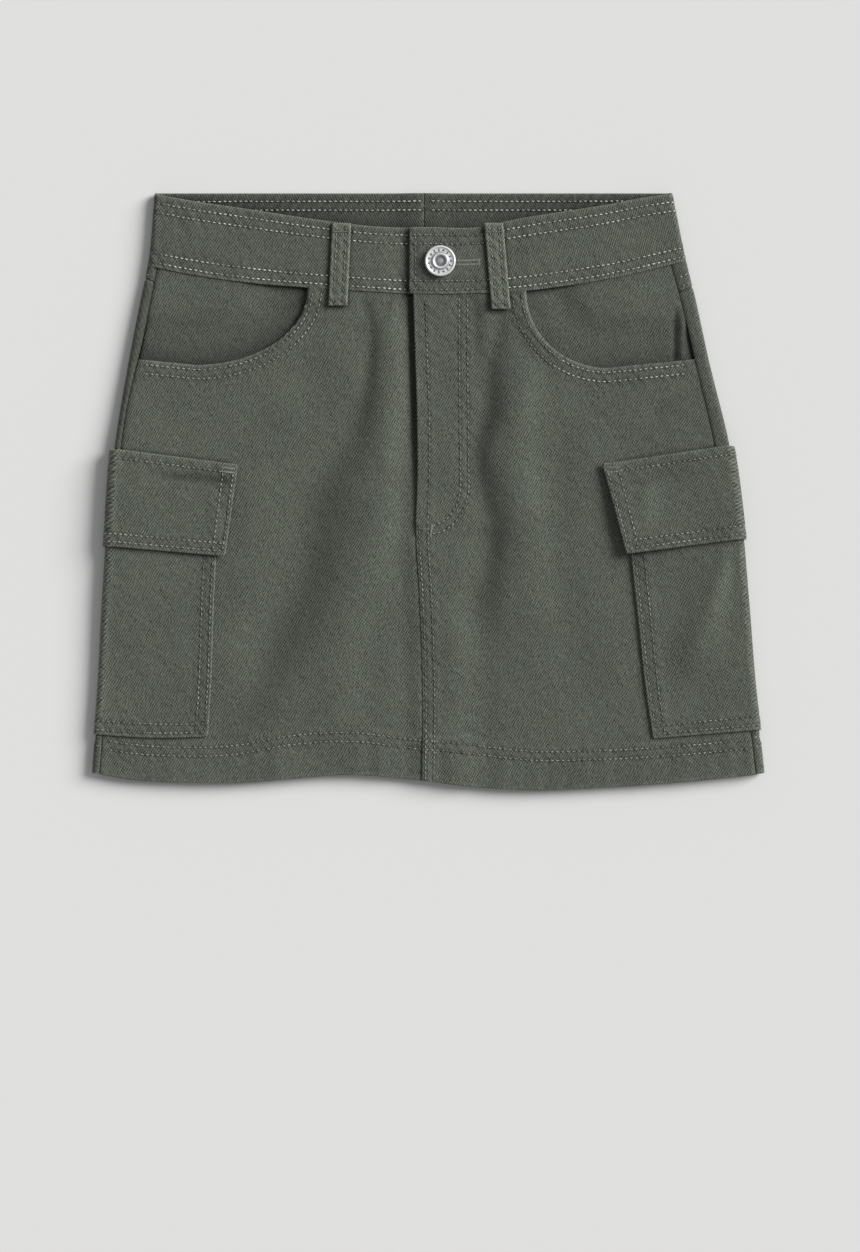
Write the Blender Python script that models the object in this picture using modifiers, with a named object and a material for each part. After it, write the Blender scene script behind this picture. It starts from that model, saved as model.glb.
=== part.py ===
"""Cargo utility skirt, laid flat with its front up.

+Z is up from the surface the skirt lies on, +Y points to the waist and +X to the viewer's
right.  Sizes below are in millimetres; mesh points are scaled to metres as they are made.
"Inner face" is the side of the cloth towards the body.  A height above it is measured
outwards, so on the back of the skirt it points down.
"""
import math
from collections import namedtuple

import bmesh
import bpy
import numpy as np

MM = 0.001
SEAM_GAP = 0.3                 # left between pieces that meet or lie on each other
HALF_GAP = SEAM_GAP / 2

# ---------------------------------------------------------------- cloth thicknesses
CLOTH = 1.0                    # one layer of twill with its seam allowances
HEM_CLOTH = 1.5                # the turned-up hem
BAND_CLOTH = 1.8               # folded and interlined waistband
FLAP_CLOTH = 1.2               # two layers turned out
LOOP_CLOTH = 1.0
BAND_SINK = 0.4                # the band's inner face lies this far inside the panels'
POCKET_LEVEL = CLOTH + SEAM_GAP
FLAP_LEVEL = POCKET_LEVEL + CLOTH + SEAM_GAP
POCKET_STACK = POCKET_LEVEL + CLOTH
FLAP_STACK = FLAP_LEVEL + FLAP_CLOTH
LOOP_LIFT = LOOP_CLOTH + SEAM_GAP

# ---------------------------------------------------------------- outline tables
LEFT, RIGHT = -1, 1
SIDE_NAME = {LEFT: "left", RIGHT: "right"}


def table(columns, rows):
    """Named columns of numbers, a row for each section."""
    return {name: np.array(values, float) for name, values in zip(columns.split(), zip(*rows))}


# Outer face of the skirt's own cloth where it folds over at each side.
OUTLINE = table("y left right", [
    (-163.2, -184.2, 184.4),
    (-133.0, -181.9, 181.2),
    (-110.0, -180.0, 178.4),
    (-60.0, -177.3, 174.2),
    (-20.0, -174.6, 170.6),
    (25.0, -171.3, 164.6),
    (73.0, -163.6, 153.2),
    (107.0, -157.0, 145.8),
    (124.0, -153.5, 141.6),
    (163.2, -149.8, 133.5),
])

# Upper and lower edges of the front waistband.
BAND = table("x top bottom", [
    (-154.0, 163.2, 123.9),
    (-128.0, 158.6, 118.7),
    (-102.0, 154.8, 114.8),
    (-54.0, 147.7, 110.7),
    (-28.0, 144.8, 109.0),
    (0.0, 144.4, 107.8),
    (29.0, 144.6, 108.3),
    (46.0, 148.4, 109.2),
    (71.0, 152.5, 112.3),
    (97.0, 156.4, 116.7),
    (122.0, 160.9, 122.4),
    (142.0, 163.2, 127.4),
])
BACK_BAND_TOP = 163.0
BACK_BAND_BOTTOM = 126.0       # at the centre back
FOLD_BAND_BOTTOM = {LEFT: 123.7, RIGHT: 127.4}

# Lower edge of the front, which lies in soft waves.
HEM = table("x edge", [
    (-184.0, -153.6),
    (-165.0, -157.1),
    (-131.0, -159.1),
    (-100.0, -159.0),
    (-70.0, -156.4),
    (-43.0, -154.8),
    (-9.0, -157.3),
    (30.0, -161.9),
    (60.0, -163.2),
    (91.0, -161.9),
    (137.0, -158.9),
    (184.0, -154.3),
])
BACK_HEM = -153.9
HEM_DEPTH = 18.5
HEM_STEP = 1.5                 # over which the cloth thickens
HEM_ROWS = 1                   # rows 0 and 1 of a hemmed sheet are inside the hem

# Lapped edge at the centre front.
FRONT_EDGE = table("y x", [
    (-164.0, -3.9),
    (-121.0, -3.2),
    (-57.0, -5.0),
    (-21.0, -6.9),
    (6.0, -6.1),
    (110.0, -8.3),
])
UNDERLAP = 14.0

# How far the side seams lie in from the fold, on the front.
SIDE_SEAM = table("y left right", [
    (-164.0, 3.8, 4.4),
    (-60.0, 3.8, 6.0),
    (25.0, 3.5, 8.4),
    (50.0, 3.8, 8.2),
    (80.0, 5.6, 8.0),
    (126.0, 5.6, 9.0),
])

# Height of the front's inner face along each side fold.
SIDE_HEIGHT = table("y z", [
    (-164.0, 3.8),
    (-133.0, 4.5),
    (-80.0, 5.3),
    (-30.0, 6.2),
    (22.0, 6.2),
    (60.0, 5.2),
    (110.0, 4.5),
    (165.0, 4.2),
])

# Height of the back's inner face: it lies on the pockets and flaps at the sides.
BACK_HEIGHT = table("latitude side middle", [
    (-170.0, HEM_CLOTH, HEM_CLOTH),
    (-138.0, HEM_CLOTH, HEM_CLOTH),
    (-135.0, POCKET_STACK, CLOTH),
    (-40.0, POCKET_STACK, CLOTH),
    (-31.0, FLAP_STACK, CLOTH),
    (26.0, FLAP_STACK, CLOTH),
    (46.0, CLOTH, CLOTH),
    (170.0, CLOTH, CLOTH),
])
PLATEAU = 68.0                 # how far in from the fold the side heights reach
PLATEAU_END = 80.0

# Rows of the wrapped pieces sink towards the middle of the skirt.
SINK = table("latitude left right", [
    (-160.0, 0.0, 0.0),
    (-132.0, 1.4, 5.0),
    (-28.0, 5.4, 8.1),
    (24.0, 7.9, 9.2),
    (80.0, 3.0, 3.0),
    (126.0, 0.0, 0.0),
])
SINK_REACH = 66.0

# ---------------------------------------------------------------- pockets and flaps
Patch = namedtuple("Patch", "top bottom front back")
POCKETS = {LEFT: Patch(6.0, -132.6, 61.6, 60.0), RIGHT: Patch(8.0, -130.3, 58.8, 58.0)}
POCKET_FLARE = {LEFT: -2.4, RIGHT: 3.6}     # wider at the top than at the bottom
FLAPS = {LEFT: Patch(22.9, -30.2, 64.8, 64.0), RIGHT: Patch(24.8, -26.3, 64.2, 65.0)}
FLAP_FLARE = {LEFT: 3.7, RIGHT: 7.5}
FLAP_LIFT = {LEFT: 0.5, RIGHT: 2.2}         # the front free corner stands off this much

# Scoop pocket mouths: a quarter ellipse, then a straight run to the side seam.
Mouth = namedtuple("Mouth", "centre_x centre_y wide deep side_x side_y")
MOUTHS = {
    LEFT: Mouth(-127.0, 110.5, 61.0, 41.3, -172.0, 73.6),
    RIGHT: Mouth(98.0, 109.5, 44.5, 41.9, 164.0, 74.2),
}
FACING_REACH = 9.0             # how far the facing goes on under the panel
FACING_DIP = 1.35              # how far its level drops there

# ---------------------------------------------------------------- waistband details
TAB_END = -10.4                # end of the right band, over the left one
BAND_UNDERLAP_END = 27.0
CENTRE_BACK = -2.4
YOKE_SIDE = {LEFT: 117.0, RIGHT: 112.6}
YOKE_CENTRE = 84.0
LOOP_WIDTH = 10.4
Loop = namedtuple("Loop", "top_x top_y bottom_x bottom_y")
FRONT_LOOPS = {LEFT: Loop(-47.3, 146.6, -49.4, 101.3), RIGHT: Loop(35.6, 146.6, 39.7, 99.4)}
BACK_LOOP = Loop(CENTRE_BACK, 161.6, CENTRE_BACK, 118.4)
BUTTON = (6.5, 125.6)
BUTTON_RADIUS = 8.5
HOLE_END_X = 24.5
HOLE_WIDTH = 1.2
EYE_RADIUS = 3.1
SHANK_RADIUS = 2.6

# ---------------------------------------------------------------- fly
ZIP_LEFT, ZIP_RIGHT = 1.0, 22.0
ZIP_TOP, ZIP_BOTTOM = 104.0, -16.0
ZIP_LIFT = CLOTH + SEAM_GAP
FLY_LAP = 2 * (CLOTH + SEAM_GAP)
SEAM_LAP = CLOTH + SEAM_GAP

# ---------------------------------------------------------------- soft relief of the front
REST_GAP = 3.3                 # front cloth above the back cloth, away from the folds
WAIST_GAP = 0.7                # and this much more at the waist
# Each crease is a soft trough along a path, by hand.
CREASES = [
    table("x y width depth", [                  # from the right belt loop down
        (38.0, 92.0, 5.0, 0.5),
        (33.0, 67.0, 6.0, 1.3),
        (32.0, 45.0, 6.5, 1.7),
        (26.5, 23.0, 6.8, 1.8),
        (29.5, 1.0, 7.5, 1.9),
        (34.0, -21.0, 8.0, 1.8),
        (33.0, -43.0, 8.0, 1.4),
        (28.0, -65.0, 10.0, 1.0),
        (38.0, -92.0, 15.0, 0.6),
    ]),
    table("x y width depth", [                  # long diagonal in the left panel
        (-37.0, 89.0, 5.0, 0.4),
        (-34.0, 62.0, 6.0, 0.6),
        (-40.0, 40.0, 8.0, 1.0),
        (-46.0, 20.0, 11.0, 1.6),
        (-57.0, 0.0, 13.0, 2.1),
        (-63.0, -21.0, 14.0, 2.4),
        (-66.0, -43.0, 14.0, 2.4),
        (-74.0, -65.0, 14.0, 2.2),
        (-85.0, -87.0, 14.0, 2.0),
        (-92.0, -109.0, 13.0, 1.5),
        (-108.0, -131.0, 12.0, 0.8),
    ]),
]
CREASE_SAMPLES = 25

COLOURS = {
    "twill": (0.090, 0.108, 0.079),
    "twill_inside": (0.074, 0.089, 0.066),
    "button_metal": (0.62, 0.62, 0.60),
    "zip_tape": (0.06, 0.07, 0.055),
}


# ================================================================ reading the tables
def smooth_read(keys, values, at):
    """Cubic through a table's rows, flat beyond its ends."""
    slopes = np.gradient(values, keys)
    at = np.clip(np.asarray(at, float), keys[0], keys[-1])
    row = np.clip(np.searchsorted(keys, at) - 1, 0, len(keys) - 2)
    span = keys[row + 1] - keys[row]
    t = (at - keys[row]) / span
    start = (1 + 2 * t) * (1 - t) ** 2 * values[row] + t * (1 - t) ** 2 * span * slopes[row]
    end = t * t * (3 - 2 * t) * values[row + 1] - t * t * (1 - t) * span * slopes[row + 1]
    return start + end


def step(low, high, at):
    """Rises smoothly from 0 at low to 1 at high."""
    t = np.clip((np.asarray(at, float) - low) / (high - low), 0, 1)
    return t * t * (3 - 2 * t)


def mix(first, second, share):
    return first * (1 - share) + second * share


def outline(side, y):
    return smooth_read(OUTLINE["y"], OUTLINE[SIDE_NAME[side]], y)


def seam_inset(side, y):
    return smooth_read(SIDE_SEAM["y"], SIDE_SEAM[SIDE_NAME[side]], y)


def seam_x(side, y):
    return outline(side, y) - side * seam_inset(side, y)


def front_edge(y):
    return smooth_read(FRONT_EDGE["y"], FRONT_EDGE["x"], y)


def band_top(x):
    return smooth_read(BAND["x"], BAND["top"], x)


def band_bottom(x):
    return smooth_read(BAND["x"], BAND["bottom"], x)


def hem_edge(x):
    return smooth_read(HEM["x"], HEM["edge"], x)


# ================================================================ heights
def crease_depth(x, y, crease):
    """Depth of one soft trough, from its distance to the crease's path."""
    rows = np.arange(len(crease["x"]), dtype=float)
    along = np.linspace(0, rows[-1], CREASE_SAMPLES)
    path = {name: smooth_read(rows, crease[name], along) for name in crease}
    depth = np.zeros(np.broadcast(x, y).shape)
    for i in range(CREASE_SAMPLES - 1):
        run_x = path["x"][i + 1] - path["x"][i]
        run_y = path["y"][i + 1] - path["y"][i]
        t = ((x - path["x"][i]) * run_x + (y - path["y"][i]) * run_y) / (run_x ** 2 + run_y ** 2)
        t = np.clip(t, 0, 1)
        off = np.hypot(x - path["x"][i] - t * run_x, y - path["y"][i] - t * run_y)
        width = mix(path["width"][i], path["width"][i + 1], t)
        deep = mix(path["depth"][i], path["depth"][i + 1], t)
        depth = np.maximum(depth, deep * np.exp(-(off / width) ** 2))
    return depth


def fly_dip(x, y):
    """The cloth sinks under the fly, where another layer lies on it."""
    depth = mix(0.9, 1.9, step(-32, -18, y)) - 0.3 * step(90, 108, y)
    return depth * step(-26, -9, x) * (1 - step(24, 44, x))


def front_height(x, y):
    """Inner face of the front's cloth, before the right panel laps over the left one."""
    x = np.asarray(x, float)
    y = np.asarray(y, float)
    middle = CLOTH + REST_GAP + WAIST_GAP * step(60, 110, y) - fly_dip(x, y)
    for crease in CREASES:
        middle = middle - crease_depth(x, y, crease)
    inset = np.minimum(x - outline(LEFT, y), outline(RIGHT, y) - x)
    side = smooth_read(SIDE_HEIGHT["y"], SIDE_HEIGHT["z"], y)
    return mix(side, middle, step(4, 62, inset))


def lap(x, y):
    """How far the right panel is lifted over the left one and over the zip."""
    fly = step(-27, -17, y)
    high = FLY_LAP * (1 - step(25, 43, x))
    seam = mix(HEM_CLOTH + SEAM_GAP, SEAM_LAP, step(-139, -130, y))
    low = seam * (1 - step(12, 34, x))
    return mix(low, high, fly)


def left_band_height(x, y):
    return front_height(x, y) + fly_dip(x, y) - BAND_SINK - 1.1 * step(-28, -11, x)


def right_band_height(x, y):
    return front_height(x, y) + fly_dip(x, y) - BAND_SINK + 1.0 * (1 - step(29, 47, x))


def back_height(side, latitude, inset):
    """Inner face of the back's cloth, above the surface that the skirt lies on."""
    at_side = np.interp(latitude, BACK_HEIGHT["latitude"], BACK_HEIGHT["side"])
    at_middle = np.interp(latitude, BACK_HEIGHT["latitude"], BACK_HEIGHT["middle"])
    share = np.clip((inset - PLATEAU) / (PLATEAU_END - PLATEAU), 0, 1)
    return mix(at_side, at_middle, share)


def loop_rise(x, y):
    """The centre back is lifted by the belt loop under it."""
    across = np.abs(x - CENTRE_BACK) - LOOP_WIDTH / 2
    return LOOP_LIFT * (1 - np.clip((across - 1) / 9, 0, 1)) * np.clip((y - 106) / 10, 0, 1)


# ================================================================ points around the folds
Station = namedtuple("Station", "side face at")     # face: front, arc or back
ARC_ANGLES = (90, 60, 30, 0, -30, -60, -90)


def arc_stations(side):
    angles = ARC_ANGLES if side == RIGHT else ARC_ANGLES[::-1]
    return [Station(side, "arc", math.radians(angle)) for angle in angles]


def row_y(side, latitude, inset):
    drop = smooth_read(SINK["latitude"], SINK[SIDE_NAME[side]], latitude)
    return latitude - drop * min(inset, SINK_REACH) / SINK_REACH


def ring_point(station, y, low, high, level, core):
    """A point `level` outside the inner face, on the front, round the fold or on the back.

    low and high are the heights of the back's and the front's inner face there, and core is
    the thickness of the cloth whose outer face is the outline.
    """
    edge = outline(station.side, y)
    if station.face == "front":
        return (edge - station.side * station.at, y, high + level)
    if station.face == "back":
        return (edge - station.side * station.at, y, low - level)
    radius = (high - low) / 2
    centre_x = edge - station.side * (core + radius)
    out = radius + level
    return (
        centre_x + station.side * out * math.cos(station.at),
        y,
        (high + low) / 2 + out * math.sin(station.at),
    )


def side_point(station, latitude, level):
    """A point of a panel, pocket or flap at a side of the skirt."""
    inset = 0.0 if station.face == "arc" else station.at
    y = row_y(station.side, latitude, inset)
    low = float(back_height(station.side, latitude, inset))
    if station.face == "front":
        high = float(front_height(outline(station.side, y) - station.side * inset, y))
    else:
        high = float(front_height(outline(station.side, y) - station.side * 3.5, y))
    return ring_point(station, y, low, high, level, CLOTH)


# ================================================================ making objects
def remove_everything():
    for item in list(bpy.data.objects):
        bpy.data.objects.remove(item, do_unlink=True)


def new_collection(name):
    collection = bpy.data.collections.new(name)
    bpy.context.scene.collection.children.link(collection)
    return collection


def material(name, roughness=0.9, metallic=0.0):
    made = bpy.data.materials.get(name) or bpy.data.materials.new(name)
    made.use_nodes = True
    shader = made.node_tree.nodes["Principled BSDF"]
    shader.inputs["Base Color"].default_value = (*COLOURS[name], 1)
    shader.inputs["Roughness"].default_value = roughness
    shader.inputs["Metallic"].default_value = metallic
    return made


def add_object(name, mesh, collection, finish=None):
    made = bpy.data.objects.new(name, mesh)
    collection.objects.link(made)
    if finish:
        mesh.materials.append(finish)
    return made


def sheet(name, columns, rows, place, thickness, collection, finish, above_hem=None):
    """Cloth: a grid whose points are moved by place(column, row), then given its thickness.

    Columns run around the skirt so that the grid's upper side faces outwards.  Rows run from
    the hem to the waist.  Where a hem is turned up, the rows as far as HEM_ROWS have the full
    thickness, and above_hem is the share of it that the other rows have.
    """
    across = len(columns) - 1
    down = len(rows) - 1
    shape = bmesh.new()
    bmesh.ops.create_grid(shape, x_segments=across, y_segments=down, size=1)
    mesh = bpy.data.meshes.new(name)
    hem_points = []
    for vert in shape.verts:
        column = round((vert.co.x + 1) / 2 * across)
        row = round((vert.co.y + 1) / 2 * down)
        vert.co = [value * MM for value in place(columns[column], rows[row])]
        if row <= HEM_ROWS:
            hem_points.append(vert)
    shape.verts.index_update()
    hem_points = [vert.index for vert in hem_points]
    shape.to_mesh(mesh)
    shape.free()
    made = add_object(name, mesh, collection, finish)
    solid = made.modifiers.new("cloth", "SOLIDIFY")
    solid.thickness = thickness * MM
    solid.offset = 1
    solid.use_even_offset = True
    if above_hem:
        made.vertex_groups.new(name="hem").add(hem_points, 1.0, "REPLACE")
        solid.vertex_group = "hem"
        solid.thickness_vertex_group = above_hem
    return made


def prism(name, outline_points, low, high, collection):
    """A flat outline stood up between two heights, as a closed mesh for cutting."""
    curve = bpy.data.curves.new(name, "CURVE")
    curve.dimensions = "2D"
    curve.fill_mode = "BOTH"
    curve.extrude = (high - low) / 2 * MM
    spline = curve.splines.new("POLY")
    spline.points.add(len(outline_points) - 1)
    for point, (x, y) in zip(spline.points, outline_points):
        point.co = (x * MM, y * MM, 0, 1)
    spline.use_cyclic_u = True
    flat = bpy.data.objects.new(name + "_outline", curve)
    flat.location.z = (high + low) / 2 * MM
    collection.objects.link(flat)
    bpy.context.view_layer.update()
    evaluated = flat.evaluated_get(bpy.context.evaluated_depsgraph_get())
    mesh = bpy.data.meshes.new_from_object(evaluated)
    shape = bmesh.new()
    shape.from_mesh(mesh)
    bmesh.ops.remove_doubles(shape, verts=shape.verts, dist=1e-6)
    shape.to_mesh(mesh)
    shape.free()
    made = bpy.data.objects.new(name, mesh)
    made.matrix_world = flat.matrix_world
    bpy.data.objects.remove(flat)
    collection.objects.link(made)
    made.hide_render = True
    made.display_type = "WIRE"
    return made


def cut(piece, cutter, operation="DIFFERENCE"):
    change = piece.modifiers.new(operation.lower(), "BOOLEAN")
    change.operation = operation
    change.solver = "EXACT"
    change.object = cutter


# ================================================================ the panels
PANEL_SHARES = {
    LEFT: (0, .06, .12, .19, .26, .33, .40, .46, .52, .58, .64, .70, .76, .82, .865, .91, .955, 1),
    RIGHT: (0, .03, .07, .12, .17, .22, .27, .32, .37, .43, .50, .57, .64, .71, .78, .85, .925, 1),
}
PANEL_ROWS = (0, .08, .17, .26, .35, .44, .53, .62, .71, .80, .90, 1)
HEM_ROW_NAMES = ("edge", "hem")


def front_panel(side, collection, finish):
    """From the side seam to the centre front, with the scoop pocket cut out of it."""
    top_y = 110.0

    def end_x(y):
        if side == LEFT:
            return front_edge(y) + UNDERLAP
        return seam_x(RIGHT, y) - HALF_GAP

    def start_x(y):
        if side == LEFT:
            return seam_x(LEFT, y) + HALF_GAP
        return front_edge(y)

    def place(share, row):
        hem_x = mix(start_x(-157), end_x(-157), share)
        top_x = mix(start_x(top_y), end_x(top_y), share)
        edge = hem_edge(hem_x)
        hem_top = edge + HEM_DEPTH
        if row == "edge":
            y = edge
        elif row == "hem":
            y = hem_top - HEM_STEP
        else:
            y = mix(hem_top, band_bottom(top_x) - SEAM_GAP, row)
        x = mix(start_x(y), end_x(y), share)
        z = front_height(x, y)
        if side == RIGHT:
            z = z + lap(x, y)
        return (x, y, z)

    rows = HEM_ROW_NAMES + PANEL_ROWS
    return sheet(
        "front_panel_" + SIDE_NAME[side], PANEL_SHARES[side], rows, place, HEM_CLOTH,
        collection, finish, above_hem=CLOTH / HEM_CLOTH,
    )


def mouth_outline(side, grow):
    """The scoop, closed well above the band and beyond the side seam."""
    mouth = MOUTHS[side]
    steps = 12
    points = []
    for i in range(steps + 1):
        angle = math.pi / 2 * i / steps
        x = mouth.centre_x - side * (mouth.wide + grow) * math.cos(angle)
        y = mouth.centre_y - (mouth.deep + grow) * math.sin(angle)
        points.append((x, y))
    far_x = mouth.side_x + side * 20
    slope = (mouth.side_y - (mouth.centre_y - mouth.deep)) / (mouth.side_x - mouth.centre_x)
    points.append((far_x, mouth.centre_y - mouth.deep - grow + slope * (far_x - mouth.centre_x)))
    points.append((far_x, mouth.centre_y + 30))
    points.append((points[0][0], mouth.centre_y + 30))
    return points


def facing_dip(side, x, y):
    """Share of the drop from the side seam's level to under the panel."""
    mouth = MOUTHS[side]
    across = np.clip((x - mouth.centre_x) / (mouth.wide - 16) * -side, 0, None)
    down = np.clip((mouth.centre_y - y) / (mouth.deep - 16), 0, None)
    return step(0.45, 1.0, np.hypot(across, down))


def pocket_facing(side, collection, finish):
    """Seen through the scoop; it dips to pass under the front panel."""
    mouth = MOUTHS[side]
    reach_x = mouth.centre_x - side * (mouth.wide + FACING_REACH + 3)
    bottom_y = mouth.centre_y - mouth.deep - FACING_REACH - 4

    def place(share, row):
        y = mix(bottom_y, 118, row)
        for _ in range(3):
            seam_side = seam_x(side, y) - side * HALF_GAP
            ends = (seam_side, reach_x) if side == LEFT else (reach_x, seam_side)
            x = mix(*ends, share)
            y = mix(bottom_y, band_bottom(x) - SEAM_GAP, row)
        return (x, y, front_height(x, y) - FACING_DIP * facing_dip(side, x, y))

    shares = np.linspace(0, 1, 10)
    rows = np.linspace(0, 1, 8)
    name = "pocket_facing_" + SIDE_NAME[side]
    return sheet(name, shares, rows, place, CLOTH, collection, finish)


def back_middle_point(x, latitude, y=None):
    """A point of the back away from the sides, on its inner face."""
    if y is None:
        share = (x + 60) / 120
        sink_left = smooth_read(SINK["latitude"], SINK["left"], latitude)
        sink_right = smooth_read(SINK["latitude"], SINK["right"], latitude)
        y = latitude - mix(sink_left, sink_right, np.clip(share, 0, 1))
    z = np.interp(latitude, BACK_HEIGHT["latitude"], BACK_HEIGHT["middle"]) + loop_rise(x, y)
    return (x, y, z)


BACK_INSETS = (4.5, 14, 30, 48, 60, PLATEAU, PLATEAU_END)
BACK_MIDDLE = (45, 13.8, 3.8, -2.4, -8.6, -18.6, -50)


def back_stations():
    """Right side seam, round the fold, across the back, to the left side seam."""
    right = [Station(RIGHT, "seam", 0)] + arc_stations(RIGHT)
    right += [Station(RIGHT, "back", inset) for inset in BACK_INSETS]
    middle = [Station(0, "middle", x) for x in BACK_MIDDLE]
    left = [Station(LEFT, "back", inset) for inset in reversed(BACK_INSETS)]
    left += arc_stations(LEFT) + [Station(LEFT, "seam", 0)]
    return right + middle + left


def yoke_seam_y(station):
    """The yoke's lower edge: straight from each fold down to the centre back."""
    if station.face == "middle":
        side = RIGHT if station.at > CENTRE_BACK else LEFT
        inset = abs(float(outline(side, 100)) - station.at)
    else:
        side = station.side
        inset = station.at if station.face == "back" else 0
    half = abs(float(outline(side, 100)) - CENTRE_BACK)
    y = mix(YOKE_SIDE[side], YOKE_CENTRE, min(inset / half, 1))
    if station.face == "seam":
        y -= 3.0
    return y


def wrapped_point(station, latitude, y=None):
    """A point of the back panel or yoke, with its own y where a row isn't a latitude."""
    if station.face == "middle":
        return back_middle_point(station.at, latitude, y)
    side = station.side
    if station.face == "seam":
        row = row_y(side, latitude, 0) if y is None else y
        if latitude <= -150:
            row = float(hem_edge(outline(side, latitude)))
        inset = float(seam_inset(side, row)) - HALF_GAP
        station = Station(side, "front", inset)
        x = outline(side, row) - side * inset
        return ring_point(station, row, 0, float(front_height(x, row)), 0, CLOTH)
    if y is None:
        return side_point(station, latitude, 0)
    inset = station.at if station.face == "back" else 0
    low = float(back_height(side, latitude, inset))
    low += float(loop_rise(outline(side, y) - side * inset, y))
    high = float(front_height(outline(side, y) - side * 3.5, y))
    return ring_point(station, y, low, high, 0, CLOTH)


def back_panel(collection, finish):
    """Below the yoke, wrapping both sides as far as the side seams."""
    latitudes = (BACK_HEM, -138, -135, -90, -40, -31, 0, 26, 46)
    below_yoke = {"upper": 21, "yoke": SEAM_GAP}

    def place(station, row):
        if row in below_yoke:
            return wrapped_point(station, 84, yoke_seam_y(station) - below_yoke[row])
        return wrapped_point(station, row)

    return sheet(
        "back_panel", back_stations(), latitudes + tuple(below_yoke), place, HEM_CLOTH,
        collection, finish, above_hem=CLOTH / HEM_CLOTH,
    )


def band_lower_edge(station):
    """y of the waistband's lower edge at a station of the back or yoke."""
    if station.face == "middle":
        return BACK_BAND_BOTTOM
    fold = FOLD_BAND_BOTTOM[station.side]
    if station.face == "seam":
        return float(band_bottom(seam_x(station.side, fold)))
    if station.face == "arc":
        return fold
    return float(mix(fold, BACK_BAND_BOTTOM, step(0, 70, station.at)))


def back_yoke(collection, finish):
    rows = (0, .35, .70, .78, 1)

    def place(station, row):
        low = yoke_seam_y(station)
        y = float(mix(low, band_lower_edge(station) - SEAM_GAP, row))
        return wrapped_point(station, 100, y)

    return sheet("back_yoke", back_stations(), rows, place, CLOTH, collection, finish)


# ================================================================ patch pockets and flaps
FRONT_INSETS = (6, 16, 28, 40, 52)
WRAP_BACK_INSETS = (4.5, 14, 30, 48)


def wrap_stations(side, front, back):
    """Stations of a patch that straddles a side fold; its two ends are marked."""
    face = [Station(side, "front", inset) for inset in (front,) + FRONT_INSETS[::-1]]
    rear = [Station(side, "back", inset) for inset in WRAP_BACK_INSETS + (back,)]
    if side == RIGHT:
        return face + arc_stations(RIGHT) + rear
    return rear[::-1] + arc_stations(LEFT) + face[::-1]


def patch(name, side, size, flare, level, thickness, latitudes, lift, collection, finish):
    """A rectangle of cloth that wraps a side fold, `level` outside the skirt's inner face."""
    stations = wrap_stations(side, size.front, size.back)

    def place(station, latitude):
        height = (latitude - size.bottom) / (size.top - size.bottom)
        if station.face == "front" and station.at == size.front:
            station = Station(side, "front", size.front + flare * height)
        x, y, z = side_point(station, latitude, level)
        if station.face == "front":
            across = float(step(0.35, 1, station.at / size.front))
            down = float(step(1.0, 0.35, height)) if height < 1 else 0.0
            z += lift * across * down
        return (x, y, z)

    return sheet(name, stations, latitudes, place, thickness, collection, finish)


def cargo_pocket(side, collection, finish):
    size = POCKETS[side]
    latitudes = (size.bottom, -90, -40, -31, size.top)
    name = "cargo_pocket_" + SIDE_NAME[side]
    return patch(
        name, side, size, POCKET_FLARE[side], POCKET_LEVEL, CLOTH, latitudes, 0,
        collection, finish,
    )


def cargo_flap(side, collection, finish):
    size = FLAPS[side]
    latitudes = (size.bottom, -10, 8, size.top)
    name = "cargo_flap_" + SIDE_NAME[side]
    return patch(
        name, side, size, FLAP_FLARE[side], FLAP_LEVEL, FLAP_CLOTH, latitudes,
        FLAP_LIFT[side], collection, finish,
    )


# ================================================================ waistband
BAND_ROWS = (0, .25, .5, .75, 1)
LEFT_BAND_X = (-139, -120, -100, -80, -62, -46, -36, -28, -22, -16, -10, 4, 16)
RIGHT_BAND_X = (-2, 8, 18, 26, 32, 38, 44, 52, 66, 82, 97, 110, 122, 132)


def band_point(side, station, row):
    """Inner face of the waistband; row runs from its lower edge to its upper edge."""
    if station.face == "x":
        y = mix(band_bottom(station.at), band_top(station.at), row)
        height = left_band_height if side == LEFT else right_band_height
        return (station.at, y, height(station.at, y))
    if station.face in ("middle", "end"):
        y = mix(BACK_BAND_BOTTOM, BACK_BAND_TOP, row)
        return (station.at, y, BAND_CLOTH + loop_rise(station.at, y))
    low_y = band_lower_edge(station)
    y = float(mix(low_y, BACK_BAND_TOP, row))
    high = float(front_height(outline(side, y) - side * 4, y)) - BAND_SINK
    inset = station.at if station.face == "back" else 0
    low = BAND_CLOTH + float(loop_rise(outline(side, y) - side * inset, y))
    return ring_point(station, y, low, high, 0, BAND_CLOTH)


def waistband(side, collection, finish):
    """One half, from the centre front round a side fold to the centre back."""
    if side == LEFT:
        front = [Station(side, "x", x) for x in LEFT_BAND_X + (BAND_UNDERLAP_END,)]
    else:
        front = [Station(side, "x", x) for x in (TAB_END,) + RIGHT_BAND_X]
    rear = [Station(side, "back", inset) for inset in (5, 30, 70)]
    middle_x = (-50, -18.6, -8.6) if side == LEFT else (45, 13.8, 3.8)
    middle = [Station(0, "middle", x) for x in middle_x]
    end = [Station(0, "end", CENTRE_BACK + side * HALF_GAP)]
    if side == RIGHT:
        stations = front + arc_stations(RIGHT) + rear + middle + end
    else:
        stations = end + middle[::-1] + rear[::-1] + arc_stations(LEFT) + front

    def place(station, row):
        return band_point(side, station, row)

    name = "waistband_" + SIDE_NAME[side]
    return sheet(name, stations, BAND_ROWS, place, BAND_CLOTH, collection, finish)


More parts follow.
